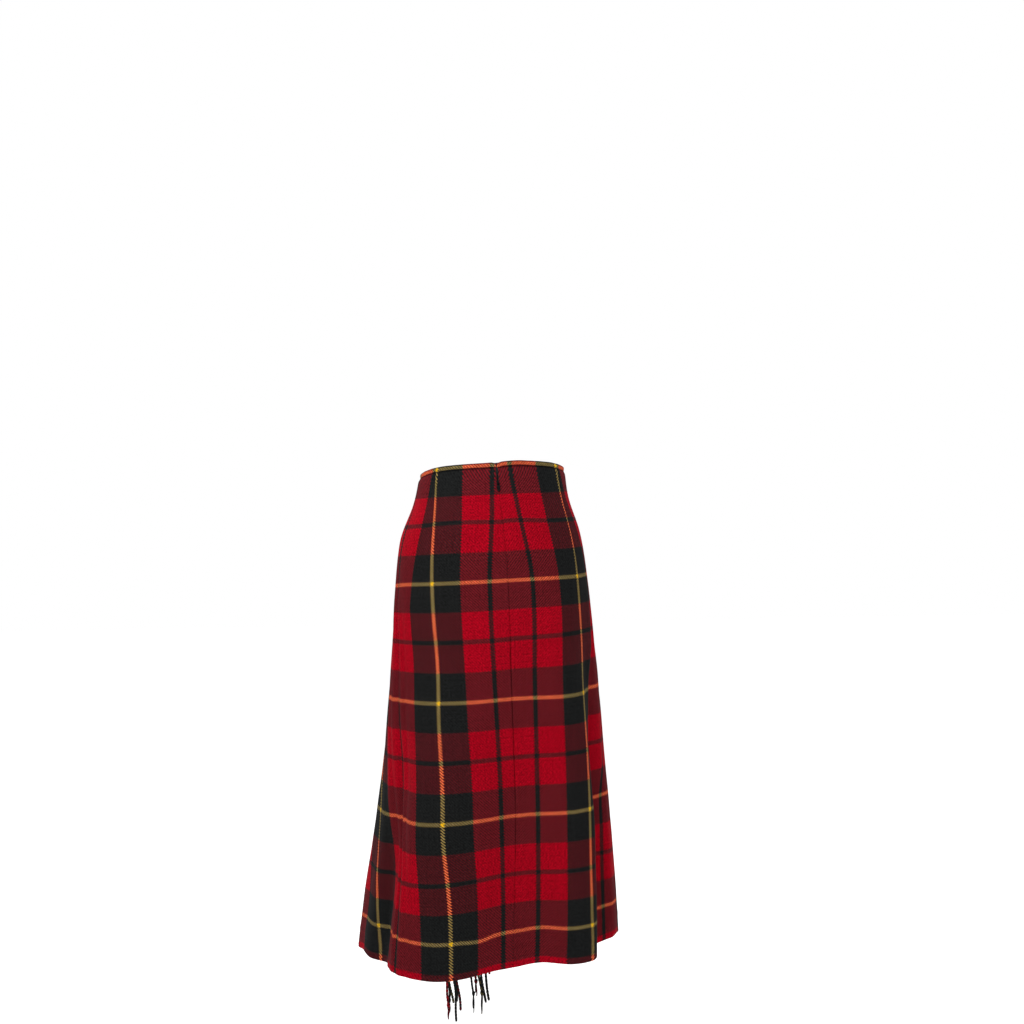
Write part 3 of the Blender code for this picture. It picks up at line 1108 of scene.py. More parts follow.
DRIFTS = (
    Drift(Side.LEFT, 0.090, 0.050, 0.050, 0.10, -0.0035, 0.0),
    Drift(Side.LEFT, 0.100, 0.290, 0.050, 0.06, 0.0040, 0.0),
    Drift(Side.LEFT, 0.168, 0.250, 0.030, 0.09, 0.0120, 0.0),
    Drift(Side.LEFT, 0.100, 0.530, 0.080, 0.06, -0.0055, 0.0),
    Drift(Side.LEFT, 0.172, 0.500, 0.025, 0.05, -0.0090, 0.0),
    Drift(Side.LEFT, 0.230, 0.660, 0.020, 0.03, -0.0120, 0.0),
    Drift(Side.LEFT, 0.310, 0.700, 0.030, 0.03, -0.0080, 0.0),
    Drift(Side.LEFT, 0.050, 0.085, 0.080, 0.04, 0.0, 0.0045),
    Drift(Side.LEFT, 0.190, 0.168, 0.040, 0.04, 0.0, -0.0040),
    Drift(Side.LEFT, 0.040, 0.300, 0.100, 0.07, 0.0, -0.0018),
    Drift(Side.LEFT, 0.040, 0.672, 0.020, 0.03, 0.0, -0.0040),
    Drift(Side.LEFT, 0.200, 0.735, 0.800, 0.02, 0.0, -0.0035),
    Drift(Side.RIGHT, 0.050, 0.220, 0.030, 0.08, -0.0040, 0.0),
    Drift(Side.RIGHT, 0.090, 0.280, 0.025, 0.05, -0.0055, 0.0),
    Drift(Side.RIGHT, 0.090, 0.100, 0.040, 0.06, -0.0035, 0.0),
    Drift(Side.RIGHT, 0.125, 0.330, 0.020, 0.04, 0.0080, 0.0),
    Drift(Side.RIGHT, 0.085, 0.560, 0.025, 0.12, 0.0060, 0.0),
    Drift(Side.RIGHT, 0.170, 0.490, 0.025, 0.04, 0.0060, 0.0),
    Drift(Side.RIGHT, -0.010, 0.085, 0.040, 0.04, 0.0, 0.0040),
    Drift(Side.RIGHT, 0.090, 0.168, 0.080, 0.05, 0.0, -0.0025),
    Drift(Side.RIGHT, 0.060, 0.336, 0.070, 0.07, 0.0, -0.0042),
    Drift(Side.RIGHT, 0.175, 0.504, 0.030, 0.07, 0.0, 0.0045),
    Drift(Side.RIGHT, 0.200, 0.735, 0.800, 0.02, 0.0, -0.0035),
)


def drift(side: Side, warp: float, down: float) -> tuple[float, float]:
    """Args:
        side: the panel's side.
        warp: the place across the cloth.
        down: place down the cloth.

    Returns:
        The distances across and along.
    """
    across = along = 0.0
    for row in DRIFTS:
        if row.side is side:
            share = bell((warp - row.warp) / row.half_width) * bell((down - row.down) / row.half_length)
            across, along = across + row.across * share, along + row.along * share
    return across, along


@dataclass(frozen=True)
class SoftLine:
    """A soft line along a seam, dart, edge or hem.

    Attributes:
        away: its distance from it.
        out: how far it stands out, or lies in if negative.
        half_width: half its width.
    """

    away: float
    out: float
    half_width: float

    def at(self, distance: float) -> float:
        """How far the line moves the cloth out at a distance."""
        return self.out * bell((distance - self.away) / self.half_width)


@dataclass(frozen=True)
class Waver:
    """Unevenness of the cloth.

    Attributes:
        height: how high its waves are.
        across: how many waves there are in a metre across.
        along: how many there are in a metre along.
        seed: what tells one unevenness from another.
    """

    height: float
    across: float
    along: float
    seed: float

    def at(self, warp: float, down: float, side: int = 1) -> float:
        """How far it moves the cloth out at a place on a side."""
        return self.height * noise.noise(Vector((warp * self.across, down * self.along, self.seed * side)))


SEAM_LINES = (SoftLine(0.0, -0.0006, 0.0022), SoftLine(0.0075, -0.0003, 0.0030))
FREE_EDGE_LINE = SoftLine(0.0, -0.0008, 0.0020)
DART_GROOVE = SoftLine(0.0, -0.0008, 0.0020)
DART_RIDGE = SoftLine(0.0040, 0.0005, 0.0035)
SWINGS = Waver(0.0016, 21, 2.6, 3.7)
RIPPLES = Waver(0.0007, 60, 16, 9.1)
PUCKERS = Waver(0.0004, 130, 95, 5.3)


@dataclass
class ClothPanel:
    """One panel of the skirt: a thin sheet with its darts, creases and turned up hem.

    Attributes:
        form: the panel's form.
        top: where its cloth begins, under the rolled edge.
        wall: thickness of the cloth.
        columns: columns between the seam, the darts and the free edge.
        rows: rows from the waist to the hem.
        lower_rows: how much wider the rows lie towards the hem.
        hem_turn: half the depth that the hem is folded over.
        turn_rows: rows round the hem's fold.
        hem_depth: how far the hem goes up inside.
        hem_rows: rows up inside it.
        tucked: how far the cloth's top lies in, below the rolled edge.
        tuck_length: how far down it does.
        dart_fades: length over which a dart's lines fade above its end.
        swing_full: place down the cloth where it swings fully.
        pucker_seam: how far from the seam the cloth puckers.
        pucker_waist: how far down from the waist it does.
        waist_share: how much it does there.
        hem_line: the ridge that the turned up hem makes outside.
    """

    form: PanelForm
    top: float = 0.0052
    wall: float = 0.0011
    columns: tuple[int, int, int] = (46, 74, 70)
    rows: int = 176
    lower_rows: float = 0.14
    hem_turn: float = 0.0013
    turn_rows: int = 6
    hem_depth: float = 0.030
    hem_rows: int = 8
    tucked: float = 0.0017
    tuck_length: float = 0.0065
    dart_fades: float = 0.05
    swing_full: float = 0.30
    pucker_seam: float = 0.012
    pucker_waist: float = 0.03
    waist_share: float = 0.6
    hem_line: SoftLine = SoftLine(0.030, 0.0004, 0.004)

    def places(self) -> list[tuple[float, float, float]]:
        """Each row's place on the form, how far inside it lies, and its place along the cloth.

        Returns:
            The three of each row, from the waist down and up inside the hem.
        """
        last = self.form.skirt.length - self.hem_turn
        found = []
        for i in range(self.rows):
            share = i / (self.rows - 1)
            lower = (1 - self.lower_rows) * share + self.lower_rows * share * share
            place = self.top + (last - self.top) * lower
            found.append((place, 0.0, place))
        for i in range(1, self.turn_rows + 1):
            turned = math.pi * i / self.turn_rows
            place = last + self.hem_turn * math.sin(turned)
            found.append((place, self.hem_turn * (1 - math.cos(turned)), last + self.hem_turn * turned))
        turned_in = last + self.hem_turn * math.pi
        for i in range(1, self.hem_rows + 1):
            up = self.hem_depth * i / self.hem_rows
            found.append((last - up, 2 * self.hem_turn, turned_in + up))
        return found

    def relief(
        self, warp: float, down: float, distance: float, width: float, darts: Sequence[float]
    ) -> float:
        """How far the cloth stands off the plain form at a place.

        Args:
            warp: place across the cloth.
            down: place along it.
            distance: distance from the seam.
            width: distance from the seam to the free edge.
            darts: distance of each dart from the seam.

        Returns:
            The distance outwards.
        """
        side = self.form.side
        out = -self.tucked * (1 - ease((down - self.top) / self.tuck_length))
        out += sum(line.at(distance) for line in SEAM_LINES) + FREE_EDGE_LINE.at(width - distance)
        out += sum(crease.out(warp, down) for crease in CREASES if crease.side is side)
        for dart, at in zip(DARTS, darts):
            fading = ease((dart.ends - down) / self.dart_fades)
            beside = distance - at
            out += fading * (DART_GROOVE.at(beside) + DART_RIDGE.at(side.value * beside))
        out += ease(down / self.swing_full) * SWINGS.at(warp, down, side.value)
        out += RIPPLES.at(warp, down, side.value)
        near_waist = ease((self.pucker_waist - down) / self.pucker_waist)
        pucker = bell(distance / self.pucker_seam) + self.waist_share * near_waist
        out += pucker * PUCKERS.at(warp, down)
        return out + self.hem_line.at(self.form.skirt.length - down)

    def build(self, node: str, wardrobe: Wardrobe) -> bpy.types.Object:
        """Makes the panel.

        Args:
            node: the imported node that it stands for.
            wardrobe: the finishes.

        Returns:
            The panel.
        """
        form, steps = self.form, [sum(self.columns[:k]) for k in range(4)]
        points: list[list[Vector]] = []
        maps: list[list[tuple[float, ...]]] = []
        for down, inside, along in self.places():
            marks = form.stations(down)
            line, warps = [], []
            for column in range(steps[3] + 1):
                part = min(max(k for k in range(4) if steps[k] <= column), 2)
                share = (column - steps[part]) / self.columns[part]
                distance = marks[part] + (marks[part + 1] - marks[part]) * share
                passed = part if column > steps[part] or part == 0 else part - 1
                before = form.warp(distance, down, passed)
                after = form.warp(distance, down, part)
                across, lower = drift(form.side, before, down)
                out = self.relief(before + across, down, distance, marks[3], marks[1:3]) - inside
                line.append(form.point(form.angle(down, distance), down, out))
                warps.append((before + across, after + across, along + lower))
            points.append(line)
            maps.append(warps)
        bm, where = shaped_grid(steps[3] + 1, len(points), lambda column, row: points[row][column])
        layer = bm.loops.layers.uv.new("cloth")
        for face in bm.faces:
            first = min(where[loop.vert][0] for loop in face.loops)
            for loop in face.loops:
                column, row = where[loop.vert]
                before, after, along = maps[row][column]
                loop[layer].uv = (after if column == first else before, along)
        if form.side is Side.RIGHT:
            bmesh.ops.reverse_faces(bm, faces=bm.faces)
        made = make_piece(f"cloth_{form.side.word}", bm, [wardrobe.cloth])
        wall = made.modifiers.new("wall", "SOLIDIFY")
        wall.thickness, wall.offset, wall.use_even_offset = self.wall, -1.0, True
        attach(made, SKIRT)
        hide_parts(node)
        return made


@dataclass
class RolledEdge:
    """The narrow rolled edge of the same cloth along the waist.

    Attributes:
        form: the form of the panel below it.
        height: its height.
        thickness: its thickness.
        around: points round its section.
        along: points along it between the seam, the darts and the free edge.
        droop: how far its end hangs beside the slit.
        overhang: how far it reaches into the slit.
        shows: half the depth of cloth that its outer face shows.
        low: how far below its middle the yellow line lies.
        end_share: share of its thickness that is left at its ends.
        end_length: length over which it thins to that.
        uneven: how uneven it is.
        droop_length: length over which its end hangs.
        top_weft: place along the cloth that its top shows, which is black.
        inner_weft: place that its inner face shows.
    """

    form: PanelForm
    height: float = 0.0068
    thickness: float = 0.0034
    around: int = 20
    along: tuple[int, int, int] = (44, 60, 56)
    droop: float = 0.0018
    overhang: float = 0.0014
    shows: float = 0.0060
    low: float = 0.0012
    end_share: float = 0.55
    end_length: float = 0.0025
    uneven: float = 0.00025
    droop_length: float = 0.007
    top_weft: float = 0.02
    inner_weft: float = 0.06

    def build(self, node: str, wardrobe: Wardrobe) -> bpy.types.Object:
        """Makes the edge.

        Args:
            node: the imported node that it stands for.
            wardrobe: the finishes.

        Returns:
            The edge.
        """
        form, down = self.form, self.height / 2
        marks, steps = form.stations(down), [sum(self.along[:k]) for k in range(4)]
        marks[0] -= self.overhang
        spots: list[tuple[float, float, float]] = []
        for column in range(steps[3] + 1):
            part = min(max(k for k in range(4) if steps[k] <= column), 2)
            share = (column - steps[part]) / self.along[part]
            distance = marks[part] + (marks[part + 1] - marks[part]) * share
            passed = part if column > steps[part] or part == 0 else part - 1
            before = form.warp(distance, down, passed)
            across, _ = drift(form.side, before, down)
            spots.append((distance, before + across, form.warp(distance, down, part) + across))

        def place(column: int, row: int) -> Vector:
            """Point of the section at a row, taken along the waist to a column.

            Args:
                column: its column.
                row: its row.

            Returns:
                The point.
            """
            distance, warp, _ = spots[column]
            turn = 2 * math.pi * row / self.around
            across = math.copysign(abs(math.cos(turn)) ** 0.8, math.cos(turn))
            up = math.copysign(abs(math.sin(turn)) ** 0.7, math.sin(turn))
            end = min(distance - marks[0], marks[3] - distance)
            full = self.end_share + (1 - self.end_share) * ease(end / self.end_length)
            uneven = self.uneven * noise.noise(Vector((warp * 90, 2.0, form.side.value)))
            out = across * self.thickness / 2 * full - form.skirt.wall / 2 + uneven
            made = form.point(form.angle(down, distance), down, out)
            made.z += up * self.height / 2 * (0.9 + 0.1 * full) + uneven * 0.6
            made.z -= self.droop * (1 - ease((distance - marks[0]) / self.droop_length))
            return made

        bm, where = shaped_grid(steps[3] + 1, self.around + 1, place)
        layer = bm.loops.layers.uv.new("cloth")
        for face in bm.faces:
            first = min(where[loop.vert][0] for loop in face.loops)
            for loop in face.loops:
                column, row = where[loop.vert]
                _, before, after = spots[column]
                loop[layer].uv = (after if column == first else before, self.weft(row))
        bmesh.ops.remove_doubles(bm, verts=bm.verts, dist=1e-6)
        bmesh.ops.holes_fill(bm, edges=[edge for edge in bm.edges if edge.is_boundary], sides=0)
        bmesh.ops.recalc_face_normals(bm, faces=bm.faces)
        made = make_piece(f"rolled_edge_{form.side.word}", bm, [wardrobe.cloth])
        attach(made, SKIRT)
        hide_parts(node)
        return made

    def weft(self, row: int) -> float:
        """Place along the cloth at a row of the section: the yellow line outside, black at the top.

        Args:
            row: its row.

        Returns:
            The place.
        """
        turn = (row / self.around + 0.5) % 1.0 - 0.5
        if abs(turn) <= 0.25:
            return -turn * 4 * self.shows - self.low
        return self.top_weft if 0 < turn < 0.35 else self.inner_weft


@dataclass
class Strand:
    """One twisted strand of the fringe.

    Attributes:
        path: the points it follows.
        radius: its radius.
        plies: the colours of its two plies.
        knot_at: share of its length at which it is knotted, or nothing.
    """

    path: list[Vector]
    radius: float
    plies: tuple[Colour, Colour]
    knot_at: float | None


# Plies of the strands below the hem, from the lowest up.
LOW_STRANDS = (
    (DARK_RED, RED),
    (BLACK, BLACK),
    (BLACK, MOSS),
    (BLACK, BLACK),
    (BLACK, BLACK),
    (BLACK, DARK_RED),
    (BLACK, BLACK),
    (BLACK, DARK_RED),
    (BLACK, MOSS),
    (BLACK, BLACK),
    (BLACK, BLACK),
)


@dataclass
class Fringe:
    """The twisted fringe beside the left panel's free edge, on a narrow band of the cloth.

    Attributes:
        form: the left panel's form.
        band_width: width of the band.
        band_top: place down the edge where the band begins.
        band_rows: points along it.
        side: thickness of a strand and of the band in the solids.
        pitch: distance between strands.
        length: length of a short strand.
        varies: how much the lengths vary.
        long_from: place down the edge below which strands are long, and trimmed to a level.
        straight_from: place below which they hang straighter.
        level: how far down the long strands are trimmed.
        uneven: how much that level varies.
        phase: turns the variation from strand to strand.
        reach: how far a strand goes sideways from its root before it falls.
        lean_waist: how far a strand swings sideways for each metre that it falls, at the waist.
        lean_long: the same for the first that hangs straighter.
        lean_straight: the same for those that hang straighter.
        end: what the first strand leaves free at the hem.
        radius: radius of a twisted strand.
        sides: points round a strand.
        rings: points along it.
        tails: loose ends below a knot.
        tail_sides: points round a loose end.
        tail_shares: its radius at each point, as a share of the strand's.
        knotted: share of the strands that end in a knot.
        knots_at: least and greatest share of its length at which a strand is knotted.
        knot_width: radius of a knot, as a share of the strand's.
        knot_height: how much taller than wide it is.
        knot_lobes: how far the turns of yarn stand out on it.
        curl: how far a strand sways about its course.
    """

    form: PanelForm
    band_width: float = 0.003
    band_top: float = 0.0071
    band_rows: int = 90
    side: float = 0.0026
    pitch: float = 0.0125
    length: float = 0.225
    varies: float = 0.06
    long_from: float = 0.590
    straight_from: float = 0.651
    level: float = 0.870
    uneven: float = 0.018
    phase: float = 2.4
    reach: float = 0.0030
    lean_waist: float = 0.30
    lean_long: float = 0.16
    lean_straight: float = 0.07
    end: float = 0.004
    radius: float = 0.0022
    sides: int = 8
    rings: int = 96
    tails: int = 2
    tail_sides: int = 6
    tail_shares: tuple[float, ...] = (0.7, 0.7, 0.68, 0.64, 0.58, 0.45)
    knotted: float = 0.6
    knots_at: tuple[float, float] = (0.84, 0.93)
    knot_width: float = 1.4
    knot_height: float = 1.5
    knot_lobes: float = 0.14
    curl: float = 0.0024

    def starts(self) -> list[float]:
        """Places down the free edge where a strand starts.

        Returns:
            The places, from the waist down.
        """
        last = self.form.skirt.length - self.end
        count = int((last - self.band_top - self.end) / self.pitch) + 1
        return sorted(last - self.pitch * k for k in range(count))

    def strand_path(self, down: float, number: int, chance: random.Random) -> list[Vector]:
        """The points that a strand follows from its root to its end.

        Args:
            down: where it starts.
            number: its number from the waist.
            chance: the draws.

        Returns:
            The points.
        """
        form, half = self.form, self.side / 2
        shift = math.sin(number * self.phase)
        length = self.length * (1 + self.varies * shift)
        lean = self.lean_waist + (self.lean_long - self.lean_waist) * down / self.straight_from
        if down > self.long_from:
            length = self.level + self.uneven * shift - down
        if down > self.straight_from:
            lean = self.lean_straight
        edge = form.stations(down)[-1]
        root = form.point(form.angle(down, edge + self.band_width), down, -half)
        phases = [chance.uniform(0, 2 * math.pi) for _ in range(4)]
        path = [form.point(form.angle(down, edge + self.band_width * 0.4), down, -half)]
        for step in range(self.rings):
            share = step / (self.rings - 1)
            fallen = length * share
            low = min(down + fallen, form.skirt.length)
            curl = self.curl * ease(share * 1.4)
            sway = curl * (math.sin(5 * share + phases[0]) + 0.5 * math.sin(17 * share + phases[1]))
            sag = 0.5 * curl * (math.sin(7 * share + phases[2]) + 0.4 * math.sin(23 * share + phases[3]))
            x = root.x - self.reach * ease(share * 12) - lean * fallen + sway
            made = form.point(form.front_angle(x, low), low, -half + abs(sag) * 0.8)
            made.z -= down + fallen - low
            path.append(made)
        return path

    def strands(self) -> list[Strand]:
        """All strands, coloured as the threads of the weft that they are drawn from.

        Returns:
            The strands, from the waist down.
        """
        chance, cloth, found = random.Random(7), CheckCloth(), []
        for number, down in enumerate(self.starts()):
            path = self.strand_path(down, number, chance)
            plies = (cloth.kind(down - self.pitch / 4), cloth.kind(down + self.pitch / 4))
            from_hem = len(self.starts()) - 1 - number
            if from_hem < len(LOW_STRANDS):
                plies = LOW_STRANDS[from_hem]
            knot = chance.uniform(*self.knots_at) if chance.random() < self.knotted else None
            found.append(Strand(path, self.radius * chance.uniform(0.9, 1.1), plies, knot))
        return found

    def build(self, node: str, wardrobe: Wardrobe) -> bpy.types.Object:
        """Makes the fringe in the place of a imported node.

        Args:
            node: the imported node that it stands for.
            wardrobe: the finishes.

        Returns:
            The fringe.
        """
        bm, chance = bmesh.new(), random.Random(11)
        self.lay_band(bm)
        for strand in self.strands():
            steps = len(strand.path)
            radii = [strand.radius * (0.7 if k in (0, steps - 1) else 1.0) for k in range(steps)]
            last = steps
            if strand.knot_at is not None:
                last = round(steps * strand.knot_at)
                self.tie_knot(bm, strand, last - 1)
                self.fray(bm, strand, last - 1, chance)
            faces = tube(bm, strand.path[:last], radii[:last], self.sides)
            self.colour(bm, faces, strand.plies)
        made = make_piece("fringe", bm, [wardrobe.yarn, wardrobe.cloth])
        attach(made, SKIRT)
        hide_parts(node)
        return made

    def colour(
        self, bm: bmesh.types.BMesh, faces: Sequence[bmesh.types.BMFace], plies: tuple[Colour, Colour]
    ) -> None:
        """Gives faces the colours of two plies.

        Args:
            bm: the bmesh.
            faces: its faces.
            plies: the two colours.
        """
        layers = [
            bm.loops.layers.float_color.get(name) or bm.loops.layers.float_color.new(name)
            for name in (TwistedYarn.first, TwistedYarn.second)
        ]
        for face in faces:
            for corner in face.loops:
                for layer, ply in zip(layers, plies):
                    corner[layer] = ply

    def lay_band(self, bm: bmesh.types.BMesh) -> None:
        """Lays the narrow band beside the free edge, which holds the roots.

        Args:
            bm: the bmesh that it is added to.
        """
        form, rows, top = self.form, self.band_rows, self.band_top
        corners = ((0.0, 0.0), (0.5, 0.0002), (1.0, 0.0), (1.0, -0.7), (0.5, -0.75), (0.0, -0.7), (0.0, 0.0))

        def place(column: int, row: int) -> Vector:
            """Corner of the band's section at a row.

            Args:
                column: its column.
                row: its row.

            Returns:
                The corner.
            """
            down = top + (form.skirt.length - top) * row / (rows - 1)
            across, inside = corners[column]
            distance = form.stations(down)[-1] + form.gap + self.band_width * across
            return form.point(form.angle(down, distance), down, inside * self.side)

        _, where = shaped_grid(len(corners), rows, place, bm)
        layer = bm.loops.layers.uv.get("cloth") or bm.loops.layers.uv.new("cloth")
        for face in bm.faces:
            face.material_index = 1
            for corner in face.loops:
                column, row = where[corner.vert]
                down = top + (form.skirt.length - top) * row / (rows - 1)
                width = form.stations(down)[-1] + self.band_width * corners[column][0]
                corner[layer].uv = (form.warp(width, down, 2), down)
        close_tube(bm, list(where))

    def tie_knot(self, bm: bmesh.types.BMesh, strand: Strand, at: int) -> None:
        """Ties a knot at a point of a strand: a small lump with a turn of yarn round it.

        Args:
            bm: the bmesh that it is added to.
            strand: the strand.
            at: the number of the point.
        """
        middle = strand.path[at]
        made = bmesh.ops.create_icosphere(bm, subdivisions=2, radius=strand.radius * self.knot_width)["verts"]
        for vert in made:
            turned = math.atan2(vert.co.y, vert.co.x) * 2 + vert.co.z / strand.radius * 2.4
            vert.co *= 1 + self.knot_lobes * math.sin(turned)
            vert.co.z *= self.knot_height
        bmesh.ops.translate(bm, verts=made, vec=middle)
        faces = list({face for vert in made for face in vert.link_faces})
        layer = bm.loops.layers.uv.get("yarn") or bm.loops.layers.uv.new("yarn")
        for face in faces:
            for corner in face.loops:
                from_middle = corner.vert.co - middle
                around = math.atan2(from_middle.y, from_middle.x) / (2 * math.pi)
                corner[layer].uv = (around, from_middle.z * 1.5)
        self.colour(bm, faces, strand.plies)

    def fray(self, bm: bmesh.types.BMesh, strand: Strand, at: int, chance: random.Random) -> None:
        """Lets the two ends of yarn below a knot hang loose.

        Args:
            bm: the bmesh that it is added to.
            strand: the strand.
            at: the number of the knot's point.
            chance: the draws.
        """
        middle, last = strand.path[at], strand.path[-1]
        for k in range(self.tails):
            turn = 2 * math.pi * (k + 0.5 * chance.random()) / self.tails
            spread = Vector((math.cos(turn), math.sin(turn) * 0.6, 0)) * chance.uniform(0.0012, 0.0026)
            length = (last - middle).length * chance.uniform(0.7, 1.05)
            path = []
            for step in range(len(self.tail_shares)):
                share = step / (len(self.tail_shares) - 1)
                wander = Vector((math.sin(3 * share + turn), math.cos(4 * share + turn), 0)) * 0.0005
                fallen = Vector((0, 0, length * share))
                path.append(middle + spread * ease(share * 1.3) + wander * share - fallen)
            radii = [strand.radius * share for share in self.tail_shares]
            ply = strand.plies[k % 2]
            self.colour(bm, tube(bm, path, radii, self.tail_sides), (ply, ply))


def close_tube(bm: bmesh.types.BMesh, verts: Sequence[bmesh.types.BMVert]) -> list[bmesh.types.BMFace]:
    """Joins the two long sides of a bent grid and closes its ends.

    Args:
        bm: the bmesh.
        verts: the grid's vertices.

    Returns:
        The faces of the closed tube.
    """
    inside = {edge for vert in verts for edge in vert.link_edges}
    bmesh.ops.remove_doubles(bm, verts=verts, dist=1e-7)
    edges = [edge for edge in inside if edge.is_valid]
    bmesh.ops.holes_fill(bm, edges=[edge for edge in edges if edge.is_boundary], sides=0)
    faces = list({face for edge in edges for face in edge.link_faces})
    bmesh.ops.recalc_face_normals(bm, faces=faces)
    return faces


# How far a strand draws in between its two plies, as a share of its radius.
GROOVE = 0.26


def tube(
    bm: bmesh.types.BMesh, path: Sequence[Vector], radii: Sequence[float], sides: int
) -> list[bmesh.types.BMFace]:
    """Draws a closed tube along a path that mostly falls.

    Args:
        bm: the bmesh that it is added to.
        path: the points that it follows.
        radii: its radius at each point.
        sides: points round it.

    Returns:
        Its faces.
    """
    lengths = [0.0]
    for here, after in zip(path, path[1:]):
        lengths.append(lengths[-1] + (after - here).length)
    frames = []
    for k, middle in enumerate(path):
        heading = (path[min(k + 1, len(path) - 1)] - path[max(k - 1, 0)]).normalized()
        side = (Vector((0, 1, 0)) - heading * heading.y).normalized()
        frames.append((middle, side, heading.cross(side), radii[k]))

    def place(column: int, row: int) -> Vector:
        """Point of a ring.

        Args:
            column: its column.
            row: its row.

        Returns:
            The point.
        """
        middle, side, up, radius = frames[row]
        turn = 2 * math.pi * (column % sides) / sides
        lobed = 1 - GROOVE * math.sin(turn + 2 * math.pi * lengths[row] / TwistedYarn.turn) ** 2
        return middle + (side * math.cos(turn) + up * math.sin(turn)) * radius * lobed

    _, where = shaped_grid(sides + 1, len(path), place, bm)
    layer = bm.loops.layers.uv.get("yarn") or bm.loops.layers.uv.new("yarn")
    for face in {face for vert in where for face in vert.link_faces}:
        for corner in face.loops:
            column, row = where[corner.vert]
            corner[layer].uv = (column / sides, lengths[row])
    return close_tube(bm, list(where))


@dataclass
class BackZip:
    """The short zip at the centre back: tapes, coil, slider and pull.

    Attributes:
        left: form of the left panel.
        right: form of the right panel.
        length: length of the tapes.
        inside: how far inside the cloth's outer face they lie.
        coil_width: width of the closed coil.
        coil_depth: its thickness.
        tape_width: width of a tape.
        tape_wall: thickness of a tape.
        tape_top: place down the cloth where a tape begins.
        tape_grid: columns across a tape, and rows down it.
        tooth: distance between teeth.
        slider_down: where the slider is.
        met: how far down the tapes meet above it.
        body: width, thickness and length of the slider's body.
        crown: width, thickness and length of the plate in front.
        neck: width and length of the neck between them.
        neck_sunk: how far the neck goes into both together.
        clear: how far the plate stands off the cloth.
        arch: width, thickness and length of the arch that holds the pull.
        leg_sunk: how far its legs go into the plate.
        roundings: how far the edges of body, neck, plate and arch are rounded.
        axis_out: how far out of the cloth the pull's axis is.
        pull_length: length of the pull.
        pull_width: width of its round end.
        pull_top: width of its top.
        pull_thickness: its thickness.
        window: width and length of its window.
        outline: points round the pull and its window.
        shoulder: how square its top is: the less the squarer.
        drop: how square the rest of its outline is.
        pull_round: how far its edges are rounded.
    """

    left: PanelForm
    right: PanelForm
    length: float = 0.190
    inside: float = 0.0019
    coil_width: float = 0.0036
    coil_depth: float = 0.0016
    tape_width: float = 0.011
    tape_wall: float = 0.0008
    tape_top: float = 0.0012
    tape_grid: tuple[int, int] = (9, 60)
    tooth: float = 0.0012
    slider_down: float = 0.0235
    met: float = 0.0090
    body: tuple[float, float, float] = (0.0036, 0.0024, 0.0090)
    crown: tuple[float, float, float] = (0.0040, 0.0006, 0.0050)
    neck: tuple[float, float] = (0.0018, 0.0035)
    neck_sunk: float = 0.0006
    clear: float = 0.0003
    arch: tuple[float, float, float] = (0.0009, 0.0007, 0.0048)
    leg_sunk: float = 0.0002
    roundings: tuple[float, float, float, float] = (0.0006, 0.0003, 0.00025, 0.0002)
    axis_out: float = 0.0018
    pull_length: float = 0.0130
    pull_width: float = 0.0052
    pull_top: float = 0.0036
    pull_thickness: float = 0.0009
    window: tuple[float, float] = (0.0019, 0.0040)
    outline: int = 32
    shoulder: float = 0.42
    drop: float = 0.9
    pull_round: float = 0.00022

    def frame(self, down: float) -> tuple[Vector, Vector, Vector, Vector]:
        """Point of the seam on the outer face, and the directions across, out and down.

        Args:
            down: place down the cloth.

        Returns:
            The point and the three directions.
        """
        skirt, angle, below = self.left.skirt, between(SEAM, "angle", down), down + 0.002
        here = skirt.point(angle, down)
        along = skirt.point(between(SEAM, "angle", below), below) - here
        across = (skirt.point(angle + 1, down) - skirt.point(angle - 1, down)).normalized()
        along = (along - across * along.dot(across)).normalized()
        return here, across, across.cross(along), along

    def build(self, wardrobe: Wardrobe) -> list[bpy.types.Object]:
        """Makes every piece of the zip.

        Args:
            wardrobe: the finishes.

        Returns:
            The tapes, coil, slider and pull.
        """
        made = [
            self.build_tape(self.left, "zip_tape_left", wardrobe),
            self.build_tape(self.right, "zip_tape_right", wardrobe),
            self.build_coil(wardrobe),
            self.build_slider(wardrobe),
            self.build_pull(wardrobe),
        ]
        return made

    def build_tape(self, form: PanelForm, node: str, wardrobe: Wardrobe) -> bpy.types.Object:
        """Makes a tape inside a panel, from the panel's own points beside the seam.

        Args:
            form: the panel's form.
            node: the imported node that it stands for.
            wardrobe: the finishes.

        Returns:
            The tape.
        """
        (columns, rows), top = self.tape_grid, self.tape_top

        def place(column: int, row: int) -> Vector:
            """Point of the tape.

            Args:
                column: its column.
                row: its row.

            Returns:
                The point.
            """
            down = top + (self.length - top) * row / (rows - 1)
            parted = ease((down - self.met) / (self.slider_down - self.met))
            near = (self.coil_width / 2 + form.gap) * parted
            across = near + self.tape_width * column / (columns - 1)
            return form.point(form.angle(down, across), down, -self.inside)

        bm, where = shaped_grid(columns, rows, place)
        layer = bm.loops.layers.uv.new("tape")
        for face in bm.faces:
            for corner in face.loops:
                column, row = where[corner.vert]
                corner[layer].uv = (self.tape_width * column / (columns - 1), self.length * row / (rows - 1))
        if form.side is Side.RIGHT:
            bmesh.ops.reverse_faces(bm, faces=bm.faces)
        made = make_piece(f"tape_{form.side.word}", bm, [wardrobe.tape])
        wall = made.modifiers.new("wall", "SOLIDIFY")
        wall.thickness, wall.offset = self.tape_wall, -1.0
        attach(made, SKIRT)
        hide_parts(node)
        return made

